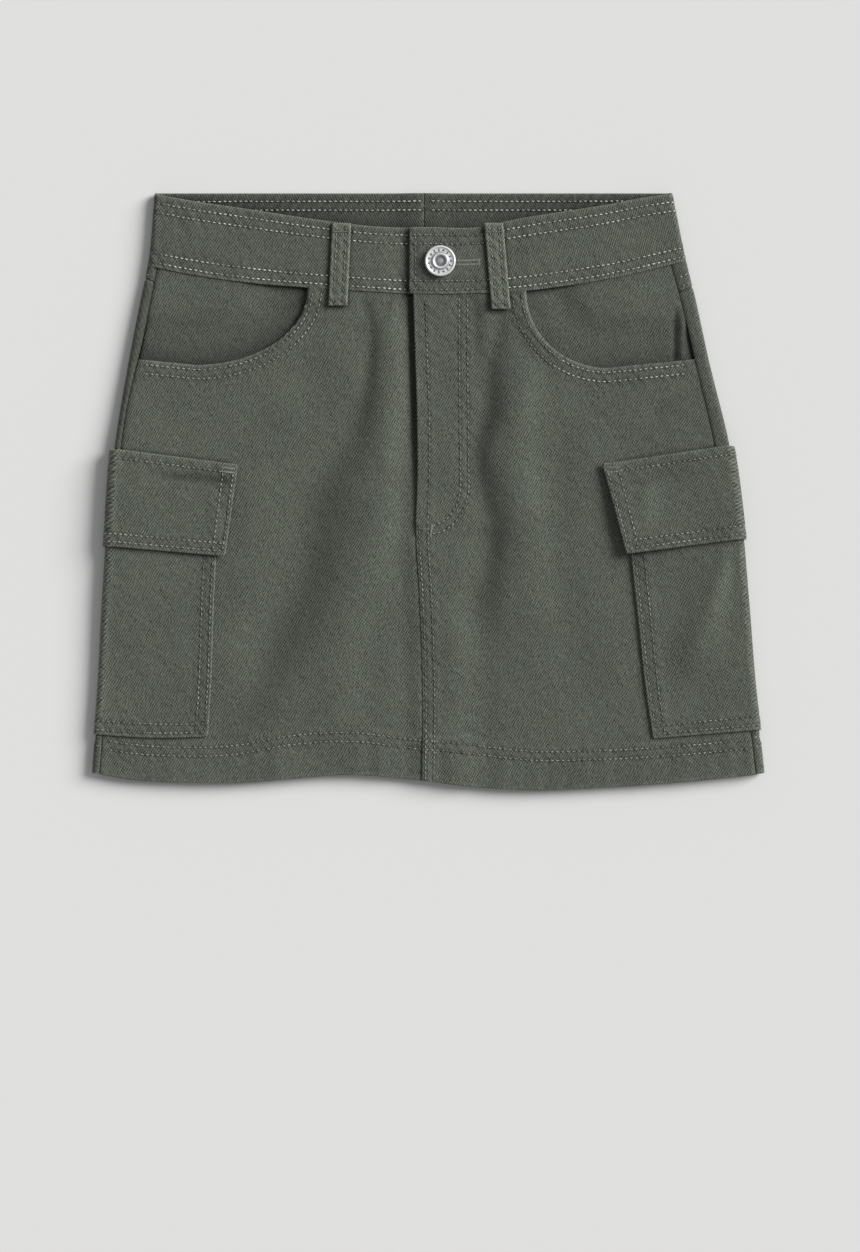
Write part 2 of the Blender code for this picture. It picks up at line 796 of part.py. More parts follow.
def buttonhole_outline():
    """Keyhole: a round eye at the shank and a narrow slit towards the side."""
    x, y = BUTTON
    slit = HOLE_WIDTH / 2
    start = math.asin(slit / EYE_RADIUS)
    steps = 20
    points = []
    for i in range(steps + 1):
        angle = start + (2 * math.pi - 2 * start) * i / steps
        points.append((x + EYE_RADIUS * math.cos(angle), y + EYE_RADIUS * math.sin(angle)))
    points += [(HOLE_END_X, y - slit), (HOLE_END_X, y + slit)]
    return points


# ================================================================ belt loops
def surface_under_loop(x, y):
    """Outer face of what a front belt loop lies on."""
    band = left_band_height(x, y) if x < 0 else right_band_height(x, y)
    panel = front_height(x, y) + (lap(x, y) if x > 0 else 0) + CLOTH
    return max(float(band) + BAND_CLOTH, float(panel))


LOOP_ROWS = (0, .08, .12, .30, .52, .74, .88, .92, 1)
LOOP_ARCH = 0.9                # how far the middle of a front loop stands off
LOOP_COLUMNS = (-1, -.5, 0, .5, 1)


def front_loop(side, collection, finish):
    loop = FRONT_LOOPS[side]

    def place(share, row):
        y = mix(loop.bottom_y, loop.top_y, row)
        x = mix(loop.bottom_x, loop.top_x, row) + share * LOOP_WIDTH / 2
        arch = LOOP_ARCH * math.sin(math.pi * row) ** 0.5 if 0 < row < 1 else 0
        under = max(surface_under_loop(x, y - 3), surface_under_loop(x, y + 3))
        return (x, y, under + SEAM_GAP + arch)

    name = "belt_loop_front_" + SIDE_NAME[side]
    made = sheet(name, LOOP_COLUMNS, LOOP_ROWS, place, LOOP_CLOTH, collection, finish)
    return made


def back_loop(collection, finish):
    """Flat under the centre back, which rests on it."""
    loop = BACK_LOOP

    def place(share, row):
        y = mix(loop.bottom_y, loop.top_y, row)
        return (CENTRE_BACK - share * LOOP_WIDTH / 2, y, LOOP_CLOTH)

    return sheet(
        "belt_loop_back", (-1, 0, 1), (0, .5, 1), place, LOOP_CLOTH, collection, finish,
    )


# ================================================================ button and zip
def waist_button(collection, finish):
    """A turned shank button: foot, neck and a dished cap with a raised ring."""
    x, y = BUTTON
    foot = float(left_band_height(x, y)) + BAND_CLOTH + SEAM_GAP
    cap = float(right_band_height(x, y)) + BAND_CLOTH + SEAM_GAP
    profile = [
        (0.0, cap + 2.1), (2.6, cap + 2.1), (3.2, cap + 2.3), (3.6, cap + 2.9),
        (4.4, cap + 2.9), (4.9, cap + 2.3), (7.0, cap + 2.2), (7.9, cap + 2.3),
        (BUTTON_RADIUS, cap + 1.7), (BUTTON_RADIUS, cap + 0.6), (7.7, cap),
        (SHANK_RADIUS, cap), (SHANK_RADIUS, foot), (0.0, foot),
    ]
    shape = bmesh.new()
    points = [shape.verts.new((radius * MM, 0, z * MM)) for radius, z in profile]
    for first, second in zip(points, points[1:]):
        shape.edges.new((first, second))
    mesh = bpy.data.meshes.new("waist_button")
    shape.to_mesh(mesh)
    shape.free()
    made = add_object("waist_button", mesh, collection, finish)
    made.location = (x * MM, y * MM, 0)
    turn = made.modifiers.new("turn", "SCREW")
    turn.steps = 28
    turn.render_steps = 28
    turn.use_merge_vertices = True
    turn.merge_threshold = 0.00001
    turn.use_smooth_shade = True
    return made


def fly_zip(collection, finish):
    """Closed zip between the underlap and the lapped panel, plain because it is hidden."""
    rows = np.linspace(0, 1, 10)

    def place(share, row):
        y = mix(ZIP_BOTTOM, ZIP_TOP, row)
        x = mix(ZIP_LEFT, ZIP_RIGHT, share)
        return (x, y, front_height(x, y) + ZIP_LIFT)

    return sheet("fly_zip", (0, .33, .67, 1), rows, place, CLOTH, collection, finish)


# ================================================================ the skirt
def build():
    remove_everything()
    skirt = new_collection("cargo_utility_skirt")
    cutters = new_collection("cutters")
    twill = material("twill")
    inside = material("twill_inside")
    for side in (LEFT, RIGHT):
        mouth = prism(
            "mouth_" + SIDE_NAME[side], mouth_outline(side, 0), -5, 20, cutters,
        )
        reach = prism(
            "facing_reach_" + SIDE_NAME[side], mouth_outline(side, FACING_REACH), -5, 20,
            cutters,
        )
        cut(front_panel(side, skirt, twill), mouth)
        cut(pocket_facing(side, skirt, twill), reach, "INTERSECT")
        cargo_pocket(side, skirt, twill)
        cargo_flap(side, skirt, twill)
        front_loop(side, skirt, twill)
    back_panel(skirt, twill)
    back_yoke(skirt, twill)
    back_loop(skirt, twill)
    waistband(LEFT, skirt, inside)
    hole = prism("buttonhole", buttonhole_outline(), 0, 20, cutters)
    cut(waistband(RIGHT, skirt, inside), hole)
    waist_button(skirt, material("button_metal", roughness=0.3, metallic=1.0))
    fly_zip(skirt, material("zip_tape"))


build()
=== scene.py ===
"""Looks for the cargo utility skirt, which lies flat with its front up.

Sizes are in millimetres in the part's own frame: +Z is up from the floor, +Y points to the
waist and +X to the viewer's right.  Mesh points are scaled to metres as they are made.
Every cloth piece is a thin closed shell on the form of its CAD solid.  A piece has its own
surface coordinates (a, b) in millimetres, and a level above the inner face of the skirt.
"""

import math
from collections import namedtuple

import bpy
import numpy as np
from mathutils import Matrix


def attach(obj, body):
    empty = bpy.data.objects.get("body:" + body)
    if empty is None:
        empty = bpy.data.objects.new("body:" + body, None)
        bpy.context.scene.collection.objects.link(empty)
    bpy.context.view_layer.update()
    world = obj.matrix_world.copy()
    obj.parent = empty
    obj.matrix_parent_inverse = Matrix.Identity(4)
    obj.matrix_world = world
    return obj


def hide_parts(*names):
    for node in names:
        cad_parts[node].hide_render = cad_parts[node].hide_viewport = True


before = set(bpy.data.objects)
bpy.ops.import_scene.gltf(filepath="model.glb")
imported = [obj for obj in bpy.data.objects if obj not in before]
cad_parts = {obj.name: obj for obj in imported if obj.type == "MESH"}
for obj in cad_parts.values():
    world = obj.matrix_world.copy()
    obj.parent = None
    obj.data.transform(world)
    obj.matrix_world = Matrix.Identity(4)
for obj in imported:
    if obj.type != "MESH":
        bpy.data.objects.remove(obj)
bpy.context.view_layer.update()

MM = 0.001
LEFT, RIGHT = -1, 1
SIDE_NAME = {LEFT: "left", RIGHT: "right"}
rng = np.random.default_rng(20)

# ---- the design, as in the CAD but for the back waistband's edge
CLOTH = 1.0
HEM_CLOTH = 1.5
BAND_CLOTH = 1.8
FLAP_CLOTH = 1.2
LOOP_CLOTH = 1.0
SEAM_GAP = 0.3
BAND_SINK = 0.4
POCKET_LEVEL = CLOTH + SEAM_GAP
FLAP_LEVEL = POCKET_LEVEL + CLOTH + SEAM_GAP
POCKET_STACK = POCKET_LEVEL + CLOTH
FLAP_STACK = FLAP_LEVEL + FLAP_CLOTH
LOOP_LIFT = LOOP_CLOTH + SEAM_GAP


def table(columns, rows):
    """Named columns of numbers, a row for each section."""
    return {name: np.array(values, float) for name, values in zip(columns.split(), zip(*rows))}


OUTLINE = table("y left right", [
    (-163.2, -184.2, 184.4),
    (-133.0, -181.9, 181.2),
    (-110.0, -180.0, 178.4),
    (-60.0, -177.3, 174.2),
    (-20.0, -174.6, 170.6),
    (25.0, -171.3, 164.6),
    (73.0, -163.6, 153.2),
    (107.0, -157.0, 145.8),
    (124.0, -153.5, 141.6),
    (163.2, -149.8, 133.5),
])
BAND = table("x top bottom", [
    (-154.0, 163.2, 123.9),
    (-128.0, 158.6, 118.7),
    (-102.0, 154.8, 114.8),
    (-54.0, 147.7, 110.7),
    (-28.0, 144.8, 109.0),
    (0.0, 144.4, 107.8),
    (29.0, 144.6, 108.3),
    (46.0, 148.4, 109.2),
    (71.0, 152.5, 112.3),
    (97.0, 156.4, 116.7),
    (122.0, 160.9, 122.4),
    (142.0, 163.2, 127.4),
])
BACK_BAND_TOP = 163.5          # 0.5 mm higher than in the CAD
BACK_BAND_BOTTOM = 126.0
FOLD_BAND_BOTTOM = {LEFT: 123.7, RIGHT: 127.4}
HEM = table("x edge", [
    (-184.0, -153.6),
    (-165.0, -157.1),
    (-131.0, -159.1),
    (-100.0, -159.0),
    (-70.0, -156.4),
    (-43.0, -154.8),
    (-9.0, -157.3),
    (30.0, -161.9),
    (60.0, -163.2),
    (91.0, -161.9),
    (137.0, -158.9),
    (184.0, -154.3),
])
BACK_HEM = -153.9
FRONT_EDGE = table("y x", [
    (-164.0, -3.9),
    (-121.0, -3.2),
    (-57.0, -5.0),
    (-21.0, -6.9),
    (6.0, -6.1),
    (110.0, -8.3),
])
UNDERLAP = 14.0
SIDE_SEAM = table("y left right", [
    (-164.0, 3.8, 4.4),
    (-60.0, 3.8, 6.0),
    (25.0, 3.5, 8.4),
    (50.0, 3.8, 8.2),
    (80.0, 5.6, 8.0),
    (126.0, 5.6, 9.0),
])
SIDE_HEIGHT = table("y z", [
    (-164.0, 3.8),
    (-133.0, 4.5),
    (-80.0, 5.3),
    (-30.0, 6.2),
    (22.0, 6.2),
    (60.0, 5.2),
    (110.0, 4.5),
    (165.0, 4.2),
])
BACK_HEIGHT = table("latitude side middle", [
    (-170.0, HEM_CLOTH, HEM_CLOTH),
    (-138.0, HEM_CLOTH, HEM_CLOTH),
    (-135.0, POCKET_STACK, CLOTH),
    (-40.0, POCKET_STACK, CLOTH),
    (-31.0, FLAP_STACK, CLOTH),
    (26.0, FLAP_STACK, CLOTH),
    (46.0, CLOTH, CLOTH),
    (170.0, CLOTH, CLOTH),
])
PLATEAU = 68.0
PLATEAU_END = 80.0
SINK = table("latitude left right", [
    (-160.0, 0.0, 0.0),
    (-132.0, 1.4, 5.0),
    (-28.0, 5.4, 8.1),
    (24.0, 7.9, 9.2),
    (80.0, 3.0, 3.0),
    (126.0, 0.0, 0.0),
])
SINK_REACH = 66.0

Patch = namedtuple("Patch", "top bottom front back")
POCKETS = {LEFT: Patch(6.0, -132.6, 61.6, 60.0), RIGHT: Patch(8.0, -130.3, 58.8, 58.0)}
POCKET_FLARE = {LEFT: -2.4, RIGHT: 3.6}
FLAPS = {LEFT: Patch(22.9, -30.2, 64.8, 64.0), RIGHT: Patch(24.8, -26.3, 64.2, 65.0)}
FLAP_FLARE = {LEFT: 3.7, RIGHT: 7.5}
FLAP_LIFT = {LEFT: 0.5, RIGHT: 2.2}
Mouth = namedtuple("Mouth", "centre_x centre_y wide deep side_x side_y")
MOUTHS = {
    LEFT: Mouth(-127.0, 110.5, 61.0, 41.3, -172.0, 73.6),
    RIGHT: Mouth(98.0, 109.5, 44.5, 41.9, 164.0, 74.2),
}
FACING_REACH = 9.0
TAB_END = -10.4
BAND_UNDERLAP_END = 27.0
CENTRE_BACK = -2.4
YOKE_SIDE = {LEFT: 117.0, RIGHT: 112.6}
YOKE_CENTRE = 84.0
LOOP_WIDTH = 10.4
Loop = namedtuple("Loop", "top_x top_y bottom_x bottom_y")
FRONT_LOOPS = {LEFT: Loop(-47.3, 146.6, -49.4, 101.3), RIGHT: Loop(35.6, 146.6, 39.7, 99.4)}
BACK_LOOP = Loop(CENTRE_BACK, 161.6, CENTRE_BACK, 118.4)
BUTTON = (6.5, 125.6)
FLY_LAP = 2 * (CLOTH + SEAM_GAP)
SEAM_LAP = CLOTH + SEAM_GAP
REST_GAP = 3.3
WAIST_GAP = 0.7
CREASES = [
    table("x y width depth", [      # from the right belt loop down
        (38.0, 92.0, 5.0, 0.5),
        (33.0, 67.0, 6.0, 1.3),
        (32.0, 45.0, 6.5, 1.7),
        (26.5, 23.0, 6.8, 1.8),
        (29.5, 1.0, 7.5, 1.9),
        (34.0, -21.0, 8.0, 1.8),
        (33.0, -43.0, 8.0, 1.4),
        (28.0, -65.0, 10.0, 1.0),
        (38.0, -92.0, 15.0, 0.6),
    ]),
    table("x y width depth", [      # long diagonal in the left panel
        (-37.0, 89.0, 5.0, 0.4),
        (-34.0, 62.0, 6.0, 0.6),
        (-40.0, 40.0, 8.0, 1.0),
        (-46.0, 20.0, 11.0, 1.6),
        (-57.0, 0.0, 13.0, 2.1),
        (-63.0, -21.0, 14.0, 2.4),
        (-66.0, -43.0, 14.0, 2.4),
        (-74.0, -65.0, 14.0, 2.2),
        (-85.0, -87.0, 14.0, 2.0),
        (-92.0, -109.0, 13.0, 1.5),
        (-108.0, -131.0, 12.0, 0.8),
    ]),
]

# ---- finer relief, for looks only
# Small soft creases; a negative depth is a ridge.
SMALL_CREASES = [
    [(23.8, 104.0, 3.0, 0.5), (26.0, 80.4, 3.5, 0.7), (25.6, 61.2, 4.5, 0.4)],
    [(-35.4, 103.0, 2.6, 0.55), (-31.5, 80.4, 3.2, 0.7), (-38.6, 28.3, 5.0, 0.3)],
    [(55.0, 105.0, 3.0, 0.5), (66.0, 80.4, 4.0, 0.4)],
    [(113.5, 61.2, 4.0, 0.35), (86.0, 53.0, 6.0, 0.3)],
    [(124.4, 44.8, 5.0, 0.4), (143.6, 55.7, 4.0, 0.45)],
    [(154.0, -43.0, 6.0, -0.8), (146.7, -89.5, 8.0, -0.6)],
    [(-19.0, 98.0, 5.0, -0.5), (-17.5, 60.0, 7.0, -0.8), (-22.0, 20.0, 9.0, -1.0)],
    [(-28.0, -10.0, 11.0, -1.2), (-34.0, -45.0, 12.0, -1.2), (-42.0, -80.0, 12.0, -0.9),
     (-52.0, -120.0, 12.0, -0.5)],
    [(-92.0, 20.0, 9.0, -0.4), (-98.0, -40.0, 11.0, -0.5), (-110.0, -100.0, 12.0, -0.3)],
    [(-138.0, 8.0, 2.6, 0.3), (-114.0, 7.5, 3.0, 0.5)],
    [(74.0, 30.0, 9.0, 0.35), (66.0, -20.0, 12.0, 0.4), (78.0, -90.0, 15.0, 0.6)],
    [(53.0, 64.0, 8.0, -1.0), (48.0, 22.0, 11.0, -1.6), (57.0, -25.0, 11.0, -1.3),
     (58.0, -62.0, 12.0, -0.6)],
    [(14.0, -60.0, 6.0, -0.3), (16.0, -110.0, 8.0, -0.4)],
    [(-22.0, 107.0, 1.6, 0.3), (-25.0, 96.0, 2.4, 0.25)],
    [(-15.5, 107.0, 1.5, 0.25), (-16.5, 97.0, 2.2, 0.2)],
    [(-72.0, 108.0, 2.0, 0.3), (-66.0, 96.0, 3.0, 0.2)],
]
# The same kind of creases on the side that lies on the floor.
BACK_CREASES = [
    [(60.0, 60.0, 9.0, 0.5), (66.0, 0.0, 13.0, 0.9), (50.0, -90.0, 16.0, 0.6)],
    [(-20.0, 40.0, 8.0, 0.3), (-36.0, -30.0, 14.0, 0.9), (-28.0, -120.0, 14.0, 0.5)],
    [(20.0, -20.0, 7.0, 0.5), (14.0, -110.0, 11.0, 0.6)],
]


# ---- reading the tables
def smooth_read(keys, values, at):
    """Cubic through a table's rows, flat beyond its ends."""
    slopes = np.gradient(values, keys)
    at = np.clip(np.asarray(at, float), keys[0], keys[-1])
    row = np.clip(np.searchsorted(keys, at) - 1, 0, len(keys) - 2)
    span = keys[row + 1] - keys[row]
    t = (at - keys[row]) / span
    start = (1 + 2 * t) * (1 - t) ** 2 * values[row] + t * (1 - t) ** 2 * span * slopes[row]
    end = t * t * (3 - 2 * t) * values[row + 1] - t * t * (1 - t) * span * slopes[row + 1]
    return start + end


def read(rows, name, at):
    """One column of a table, at values of its first column."""
    return smooth_read(next(iter(rows.values())), rows[name], at)


def step(low, high, at):
    """Rises smoothly from 0 at low to 1 at high."""
    t = np.clip((np.asarray(at, float) - low) / (high - low), 0, 1)
    return t * t * (3 - 2 * t)


def bell(at, width):
    return np.exp(-(np.asarray(at, float) / width) ** 2)


def mix(first, second, share):
    return first * (1 - share) + second * share


def outline(side, y):
    return read(OUTLINE, SIDE_NAME[side], y)


def seam_inset(side, y):
    return read(SIDE_SEAM, SIDE_NAME[side], y)


def seam_x(side, y):
    return outline(side, y) - side * seam_inset(side, y)


def front_edge(y):
    return read(FRONT_EDGE, "x", y)


def band_top(x):
    return read(BAND, "top", x)


def band_bottom(x):
    return read(BAND, "bottom", x)


def hem_edge(x):
    return read(HEM, "edge", x)


def side_height(y):
    return read(SIDE_HEIGHT, "z", y)


def points_at(x, y, z):
    return np.stack(np.broadcast_arrays(x, y, z), -1)


# ---- heights
CREASE_SAMPLES = 25            # points along a long crease, and along a short one
SHORT_SAMPLES = 9
FOLD_SHADE = 1.6               # painted shade for each millimetre of depth to one of width
SMALL_FOLD_SHADE = 0.9
SHADE_SHIFT = 3.5              # the painted shade lies on the wall of a fold that faces -X, away from the key light


def crease_table(crease):
    """Named columns of a crease that is given as bare rows."""
    return table("x y width depth", crease) if isinstance(crease, list) else crease


def crease_depth(x, y, crease):
    """Depth of one soft trough, from its distance to the crease's path."""
    crease = crease_table(crease)
    rows = np.arange(len(crease["x"]), dtype=float)
    samples = CREASE_SAMPLES if len(rows) > 3 else SHORT_SAMPLES
    along = np.linspace(0, rows[-1], samples)
    path = {name: smooth_read(rows, crease[name], along) for name in crease}
    reach = 3 * path["width"].max()
    depth = np.zeros(np.broadcast(x, y).shape)
    near = (
        (x > path["x"].min() - reach) & (x < path["x"].max() + reach)
        & (y > path["y"].min() - reach) & (y < path["y"].max() + reach)
    )
    if not near.any():
        return depth
    px, py = x[near], y[near]
    best = np.zeros(px.shape)
    for i in range(samples - 1):
        run_x = path["x"][i + 1] - path["x"][i]
        run_y = path["y"][i + 1] - path["y"][i]
        t = ((px - path["x"][i]) * run_x + (py - path["y"][i]) * run_y)
        t = np.clip(t / (run_x ** 2 + run_y ** 2), 0, 1)
        off = np.hypot(px - path["x"][i] - t * run_x, py - path["y"][i] - t * run_y)
        width = mix(path["width"][i], path["width"][i + 1], t)
        deep = mix(path["depth"][i], path["depth"][i + 1], t) * bell(off, width)
        best = np.where(np.abs(deep) > np.abs(best), deep, best)
    depth[near] = best
    return depth


def fold_shade(x, y, creases, amount):
    """Painted shade in a narrow deep trough and painted light on a sharp ridge."""
    shade = 0.0
    for crease in map(crease_table, creases):
        steep = dict(crease, depth=amount * crease["depth"] / crease["width"])
        shade = shade - crease_depth(x - SHADE_SHIFT, y, steep)
    return shade


def random_waves(count, shortest, longest, height):
    """Gentle unevenness: waves of random direction, length and phase."""
    length = rng.uniform(shortest, longest, count)
    angle = rng.uniform(0, math.pi, count)
    phase = rng.uniform(0, 2 * math.pi, count)
    return np.cos(angle) / length, np.sin(angle) / length, phase, height * (length / longest)


def value(source, a, b):
    """A number, or a function of the surface coordinates, over a grid of them."""
    found = source(a, b) if callable(source) else source
    return found + np.zeros(np.broadcast(a, b).shape)


def wave_height(x, y, waves):
    total = np.zeros(np.broadcast(x, y).shape)
    for across, up, phase, height in zip(*waves):
        total += height * np.sin(2 * math.pi * (x * across + y * up) + phase)
    return total


BROAD_WAVES = random_waves(12, 24, 80, 0.11)
FINE_WAVES = random_waves(16, 5, 13, 0.022)
THREAD_WAVES = random_waves(6, 15, 40, 0.24)
PUCKERS = random_waves(14, 5, 26, 0.16)


def fly_dip(x, y):
    """The cloth sinks under the fly, where another layer lies on it."""
    depth = mix(0.9, 1.9, step(-32, -18, y)) - 0.3 * step(90, 108, y)
    return depth * step(-26, -9, x) * (1 - step(24, 44, x))


def front_height(x, y):
    """Inner face of the front's cloth, before the right panel laps over the left one."""
    x, y = np.broadcast_arrays(np.asarray(x, float), np.asarray(y, float))
    middle = CLOTH + REST_GAP + WAIST_GAP * step(60, 110, y) - fly_dip(x, y)
    for crease in CREASES + SMALL_CREASES:
        middle = middle - crease_depth(x, y, crease)
    calm = 1 - 0.75 * step(100, 112, y)
    middle = middle + wave_height(x, y, BROAD_WAVES) * calm
    inset = np.minimum(x - outline(LEFT, y), outline(RIGHT, y) - x)
    side = side_height(y)
    return mix(side, middle, step(4, 62, inset)) + wave_height(x, y, FINE_WAVES)


def lap(x, y):
    """How far the right panel is lifted over the left one and over the zip."""
    fly = step(-27, -17, y)
    high = FLY_LAP * (1 - step(25, 43, x))
    seam = mix(HEM_CLOTH + SEAM_GAP, SEAM_LAP, step(-139, -130, y))
    return mix(seam * (1 - step(12, 34, x)), high, fly)


def left_band_height(x, y):
    return front_height(x, y) + fly_dip(x, y) - BAND_SINK - 1.1 * step(-28, -11, x)


def right_band_height(x, y):
    return front_height(x, y) + fly_dip(x, y) - BAND_SINK + 1.0 * (1 - step(29, 47, x))


def read_steps(keys, values, at):
    """Level runs of a table joined by smooth steps."""
    row = np.clip(np.searchsorted(keys, at) - 1, 0, len(keys) - 2)
    return mix(values[row], values[row + 1], step(0, 1, (at - keys[row]) / (keys[row + 1] - keys[row])))


def back_height(latitude, inset):
    """Inner face of the back's cloth, above the surface that the skirt lies on."""
    at_side = read_steps(BACK_HEIGHT["latitude"], BACK_HEIGHT["side"], latitude)
    at_middle = read_steps(BACK_HEIGHT["latitude"], BACK_HEIGHT["middle"], latitude)
    return mix(at_side, at_middle, step(PLATEAU, PLATEAU_END, inset))


def loop_rise(x, y):
    """The centre back is lifted by the belt loop under it."""
    across = np.abs(x - CENTRE_BACK) - LOOP_WIDTH / 2
    return LOOP_LIFT * (1 - np.clip((across - 1) / 9, 0, 1)) * np.clip((y - 106) / 10, 0, 1)


def row_drop(side, latitude, inset):
    """How far a wrapped piece's row lies below its latitude, this far in from the fold."""
    drop = read(SINK, SIDE_NAME[side], latitude)
    return drop * np.clip(inset - 3, 0, SINK_REACH - 3) / (SINK_REACH - 3)


def ring(side, girth, y, low, high, level, core):
    """Points `level` outside the inner face: on the front, round the side fold or on the back.

    girth is the distance from the fold, positive on the front and negative on the back.
    """
    radius = (high - low) / 2
    reach = core + radius
    turn = np.clip(girth / reach, -1, 1) * (math.pi / 2)
    flat = np.clip(np.abs(girth) - reach, 0, None)
    out = radius + level
    x = outline(side, y) + side * (out * np.cos(turn) - reach - flat)
    z = (high + low) / 2 + out * np.sin(turn)
    return points_at(x, y, z)


# ---- meshes
EDGE_LINES = np.array([0.0, 0.12, 0.4, 0.9])


def lines(length, spacing, first=True, last=True):
    """Grid lines from 0 to length, close together at the ends that show."""
    low, high = EDGE_LINES[-1] if first else 0, EDGE_LINES[-1] if last else 0
    inner = np.linspace(low, length - high, max(2, round((length - low - high) / spacing)) + 1)
    parts = [EDGE_LINES[:-1]] if first else []
    parts.append(inner)
    if last:
        parts.append(length - EDGE_LINES[:-1][::-1])
    return np.concatenate(parts)


def rounding(distance, half):
    """Share of the thickness this far in from a rounded edge."""
    return np.sqrt(np.clip(1 - (1 - np.clip(distance / half, 0, 1)) ** 2, 0, 1))


def round_corners(near_a, near_b, radius):
    """How far points near a corner move in (a, b) so that the corner is round."""
    p = np.clip(radius - near_a, 0, None)
    q = np.clip(radius - near_b, 0, None)
    both = (p > 0) & (q > 0)
    factor = np.where(both, np.maximum(p, q) / np.maximum(np.hypot(p, q), 1e-9), 1)
    return p * (1 - factor), q * (1 - factor)


def grid_faces(shape, keep=None):
    index = np.arange(shape[0] * shape[1]).reshape(shape)
    quads = np.stack([index[:-1, :-1], index[:-1, 1:], index[1:, 1:], index[1:, :-1]], -1)
    quads = quads.reshape(-1, 4)
    if keep is None:
        return quads, np.zeros((0, 3), int)
    kept = keep.ravel()[quads]
    corners = quads[kept.sum(1) == 3]
    corner_kept = kept[kept.sum(1) == 3]
    return quads[kept.all(1)], corners[corner_kept].reshape(-1, 3)


def rim_points(faces):
    """Indices of the points on the free edges of some faces."""
    edges = []
    for group in faces:
        for i in range(group.shape[1]):
            edges.append(np.stack([group[:, i], group[:, (i + 1) % group.shape[1]]], 1))
    edges = np.sort(np.concatenate(edges), 1)
    found, count = np.unique(edges, axis=0, return_counts=True)
    return np.unique(found[count == 1])


def make_object(name, points, faces, fields, finish):
    """A smooth-shaded mesh object, with its named fields stored on its points."""
    used = np.unique(np.concatenate([group.ravel() for group in faces if len(group)]))
    renumber = np.full(len(points), -1)
    renumber[used] = np.arange(len(used))
    polygons = [face for group in faces for face in renumber[group].tolist()]
    mesh = bpy.data.meshes.new(name)
    mesh.from_pydata((points[used] * MM).tolist(), [], polygons)
    for field, values in fields.items():
        vector = values.ndim == 2
        kind = "FLOAT_VECTOR" if vector else "FLOAT"
        made = mesh.attributes.new(field, kind, "POINT")
        made.data.foreach_set("vector" if vector else "value", values[used].ravel())
    mesh.polygons.foreach_set("use_smooth", np.ones(len(polygons), bool))
    mesh.materials.append(finish)
    mesh.update()
    made = bpy.data.objects.new(name, mesh)
    bpy.context.scene.collection.objects.link(made)
    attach(made, "root")
    return made


FAR = 8.0
CHANNEL = 0.22                 # how deep a row of stitches sinks into the cloth
ROPING = 0.17                  # height of the small ripples beside it


def resample(path, spacing):
    """Points a fixed distance apart along a polyline."""
    path = np.asarray(path, float)
    run = np.concatenate([[0], np.cumsum(np.hypot(*np.diff(path, axis=0).T))])
    at = np.linspace(0, run[-1], max(2, round(run[-1] / spacing) + 1))
    return np.stack([np.interp(at, run, path[:, i]) for i in range(2)], 1)


def row_distance(a, b, rows):
    """Distance in surface coordinates to the nearest row of stitches, at most FAR."""
    points = np.stack([a.ravel(), b.ravel()], 1)
    best = np.full(len(points), FAR)
    for row in rows:
        dense = resample(row, 0.7)
        box = (points > dense.min(0) - FAR) & (points < dense.max(0) + FAR)
        near = np.flatnonzero(box.all(1))
        if not len(near):
            continue
        for part in np.array_split(near, 1 + len(near) * len(dense) // 3_000_000):
            gap = np.hypot(points[part, None, 0] - dense[:, 0], points[part, None, 1] - dense[:, 1])
            best[part] = np.minimum(best[part], gap.min(1))
    return best.reshape(np.shape(a))


class Cloth:
    """A piece of cloth: its place in space, its two faces and the stitching on it."""

    def __init__(self, name, place, outer, inner, rows=(), weave=None):
        self.name = name
        self.place = place          # (a, b, level) -> points in millimetres
        self.outer = outer          # level of the outer face, a number or (a, b) -> level
        self.inner = inner
        self.rows = list(rows)
        self.weave = weave          # (a, b) -> coordinates of the twill, in millimetres
        self.tacks = []             # single stitches, as (start, end, radius)
        self.bright = 1.0           # how much the thread shows, a number or (a, b) -> number
        self.tone = None            # (a, b) -> painted shade and light on the cloth, outside and inside

    def surface(self, a, b, extra=0.0):
        """Points on the outer face, `extra` above the bottom of the stitch channel."""
        return self.place(a, b, value(self.outer, a, b) - CHANNEL + extra)

    def build(self, a, b, edge, finish, keep=None, half=0.5):
        """The shell over a grid; edge is each point's distance from the nearest free edge."""
        away = row_distance(a, b, self.rows)
        ripple = np.sin(2 * math.pi * (0.9 * a + 0.8 * b) / 5.3 + 1.6 * np.sin(a / 17 + b / 23))
        relief = -CHANNEL * bell(away, 0.85) + ROPING * bell(away, 3.4) * ripple
        outer = value(self.outer, a, b) + relief
        inner = np.minimum(value(self.inner, a, b), outer - 0.3)
        share = rounding(edge, half)
        middle = (outer + inner) / 2
        top = self.place(a, b, mix(middle, outer, share)).reshape(-1, 3)
        under = self.place(a, b, mix(middle, inner, share)).reshape(-1, 3)
        faces = grid_faces(a.shape, keep)
        rim = rim_points([group for group in faces if len(group)])
        top[rim] = (top[rim] + under[rim]) / 2
        count = len(top)
        lower = np.arange(count) + count
        lower[rim] = rim
        faces = list(faces) + [lower[group][:, ::-1] for group in faces]
        grain = np.stack(self.weave(a, b) + (np.zeros(a.shape),), -1).reshape(-1, 3)
        # Lighter worn edges, the ripples beside the rows lighter on their crests and darker in their
        # hollows, and painted shade in the stitch channels.
        wear = 0.38 * bell(edge, 0.9) + 0.16 * bell(away, 3.2) * ripple - 0.30 * bell(away, 0.9)
        # Inner faces are 0.15 darker.
        wear_and_shade_inside = wear - 0.15
        # The piece's painted shade and light are added, outside and inside.
        if self.tone:
            outside, inside = self.tone(a, b)
            wear, wear_and_shade_inside = wear + outside, wear_and_shade_inside + inside
        fields = {
            "grain": np.concatenate([grain, grain]),
            "wear": np.concatenate([wear.ravel(), wear_and_shade_inside.ravel()]),
        }
        faces = [group for group in faces if len(group)]
        self.made = make_object(self.name, np.concatenate([top, under]), faces, fields, finish)
        return self


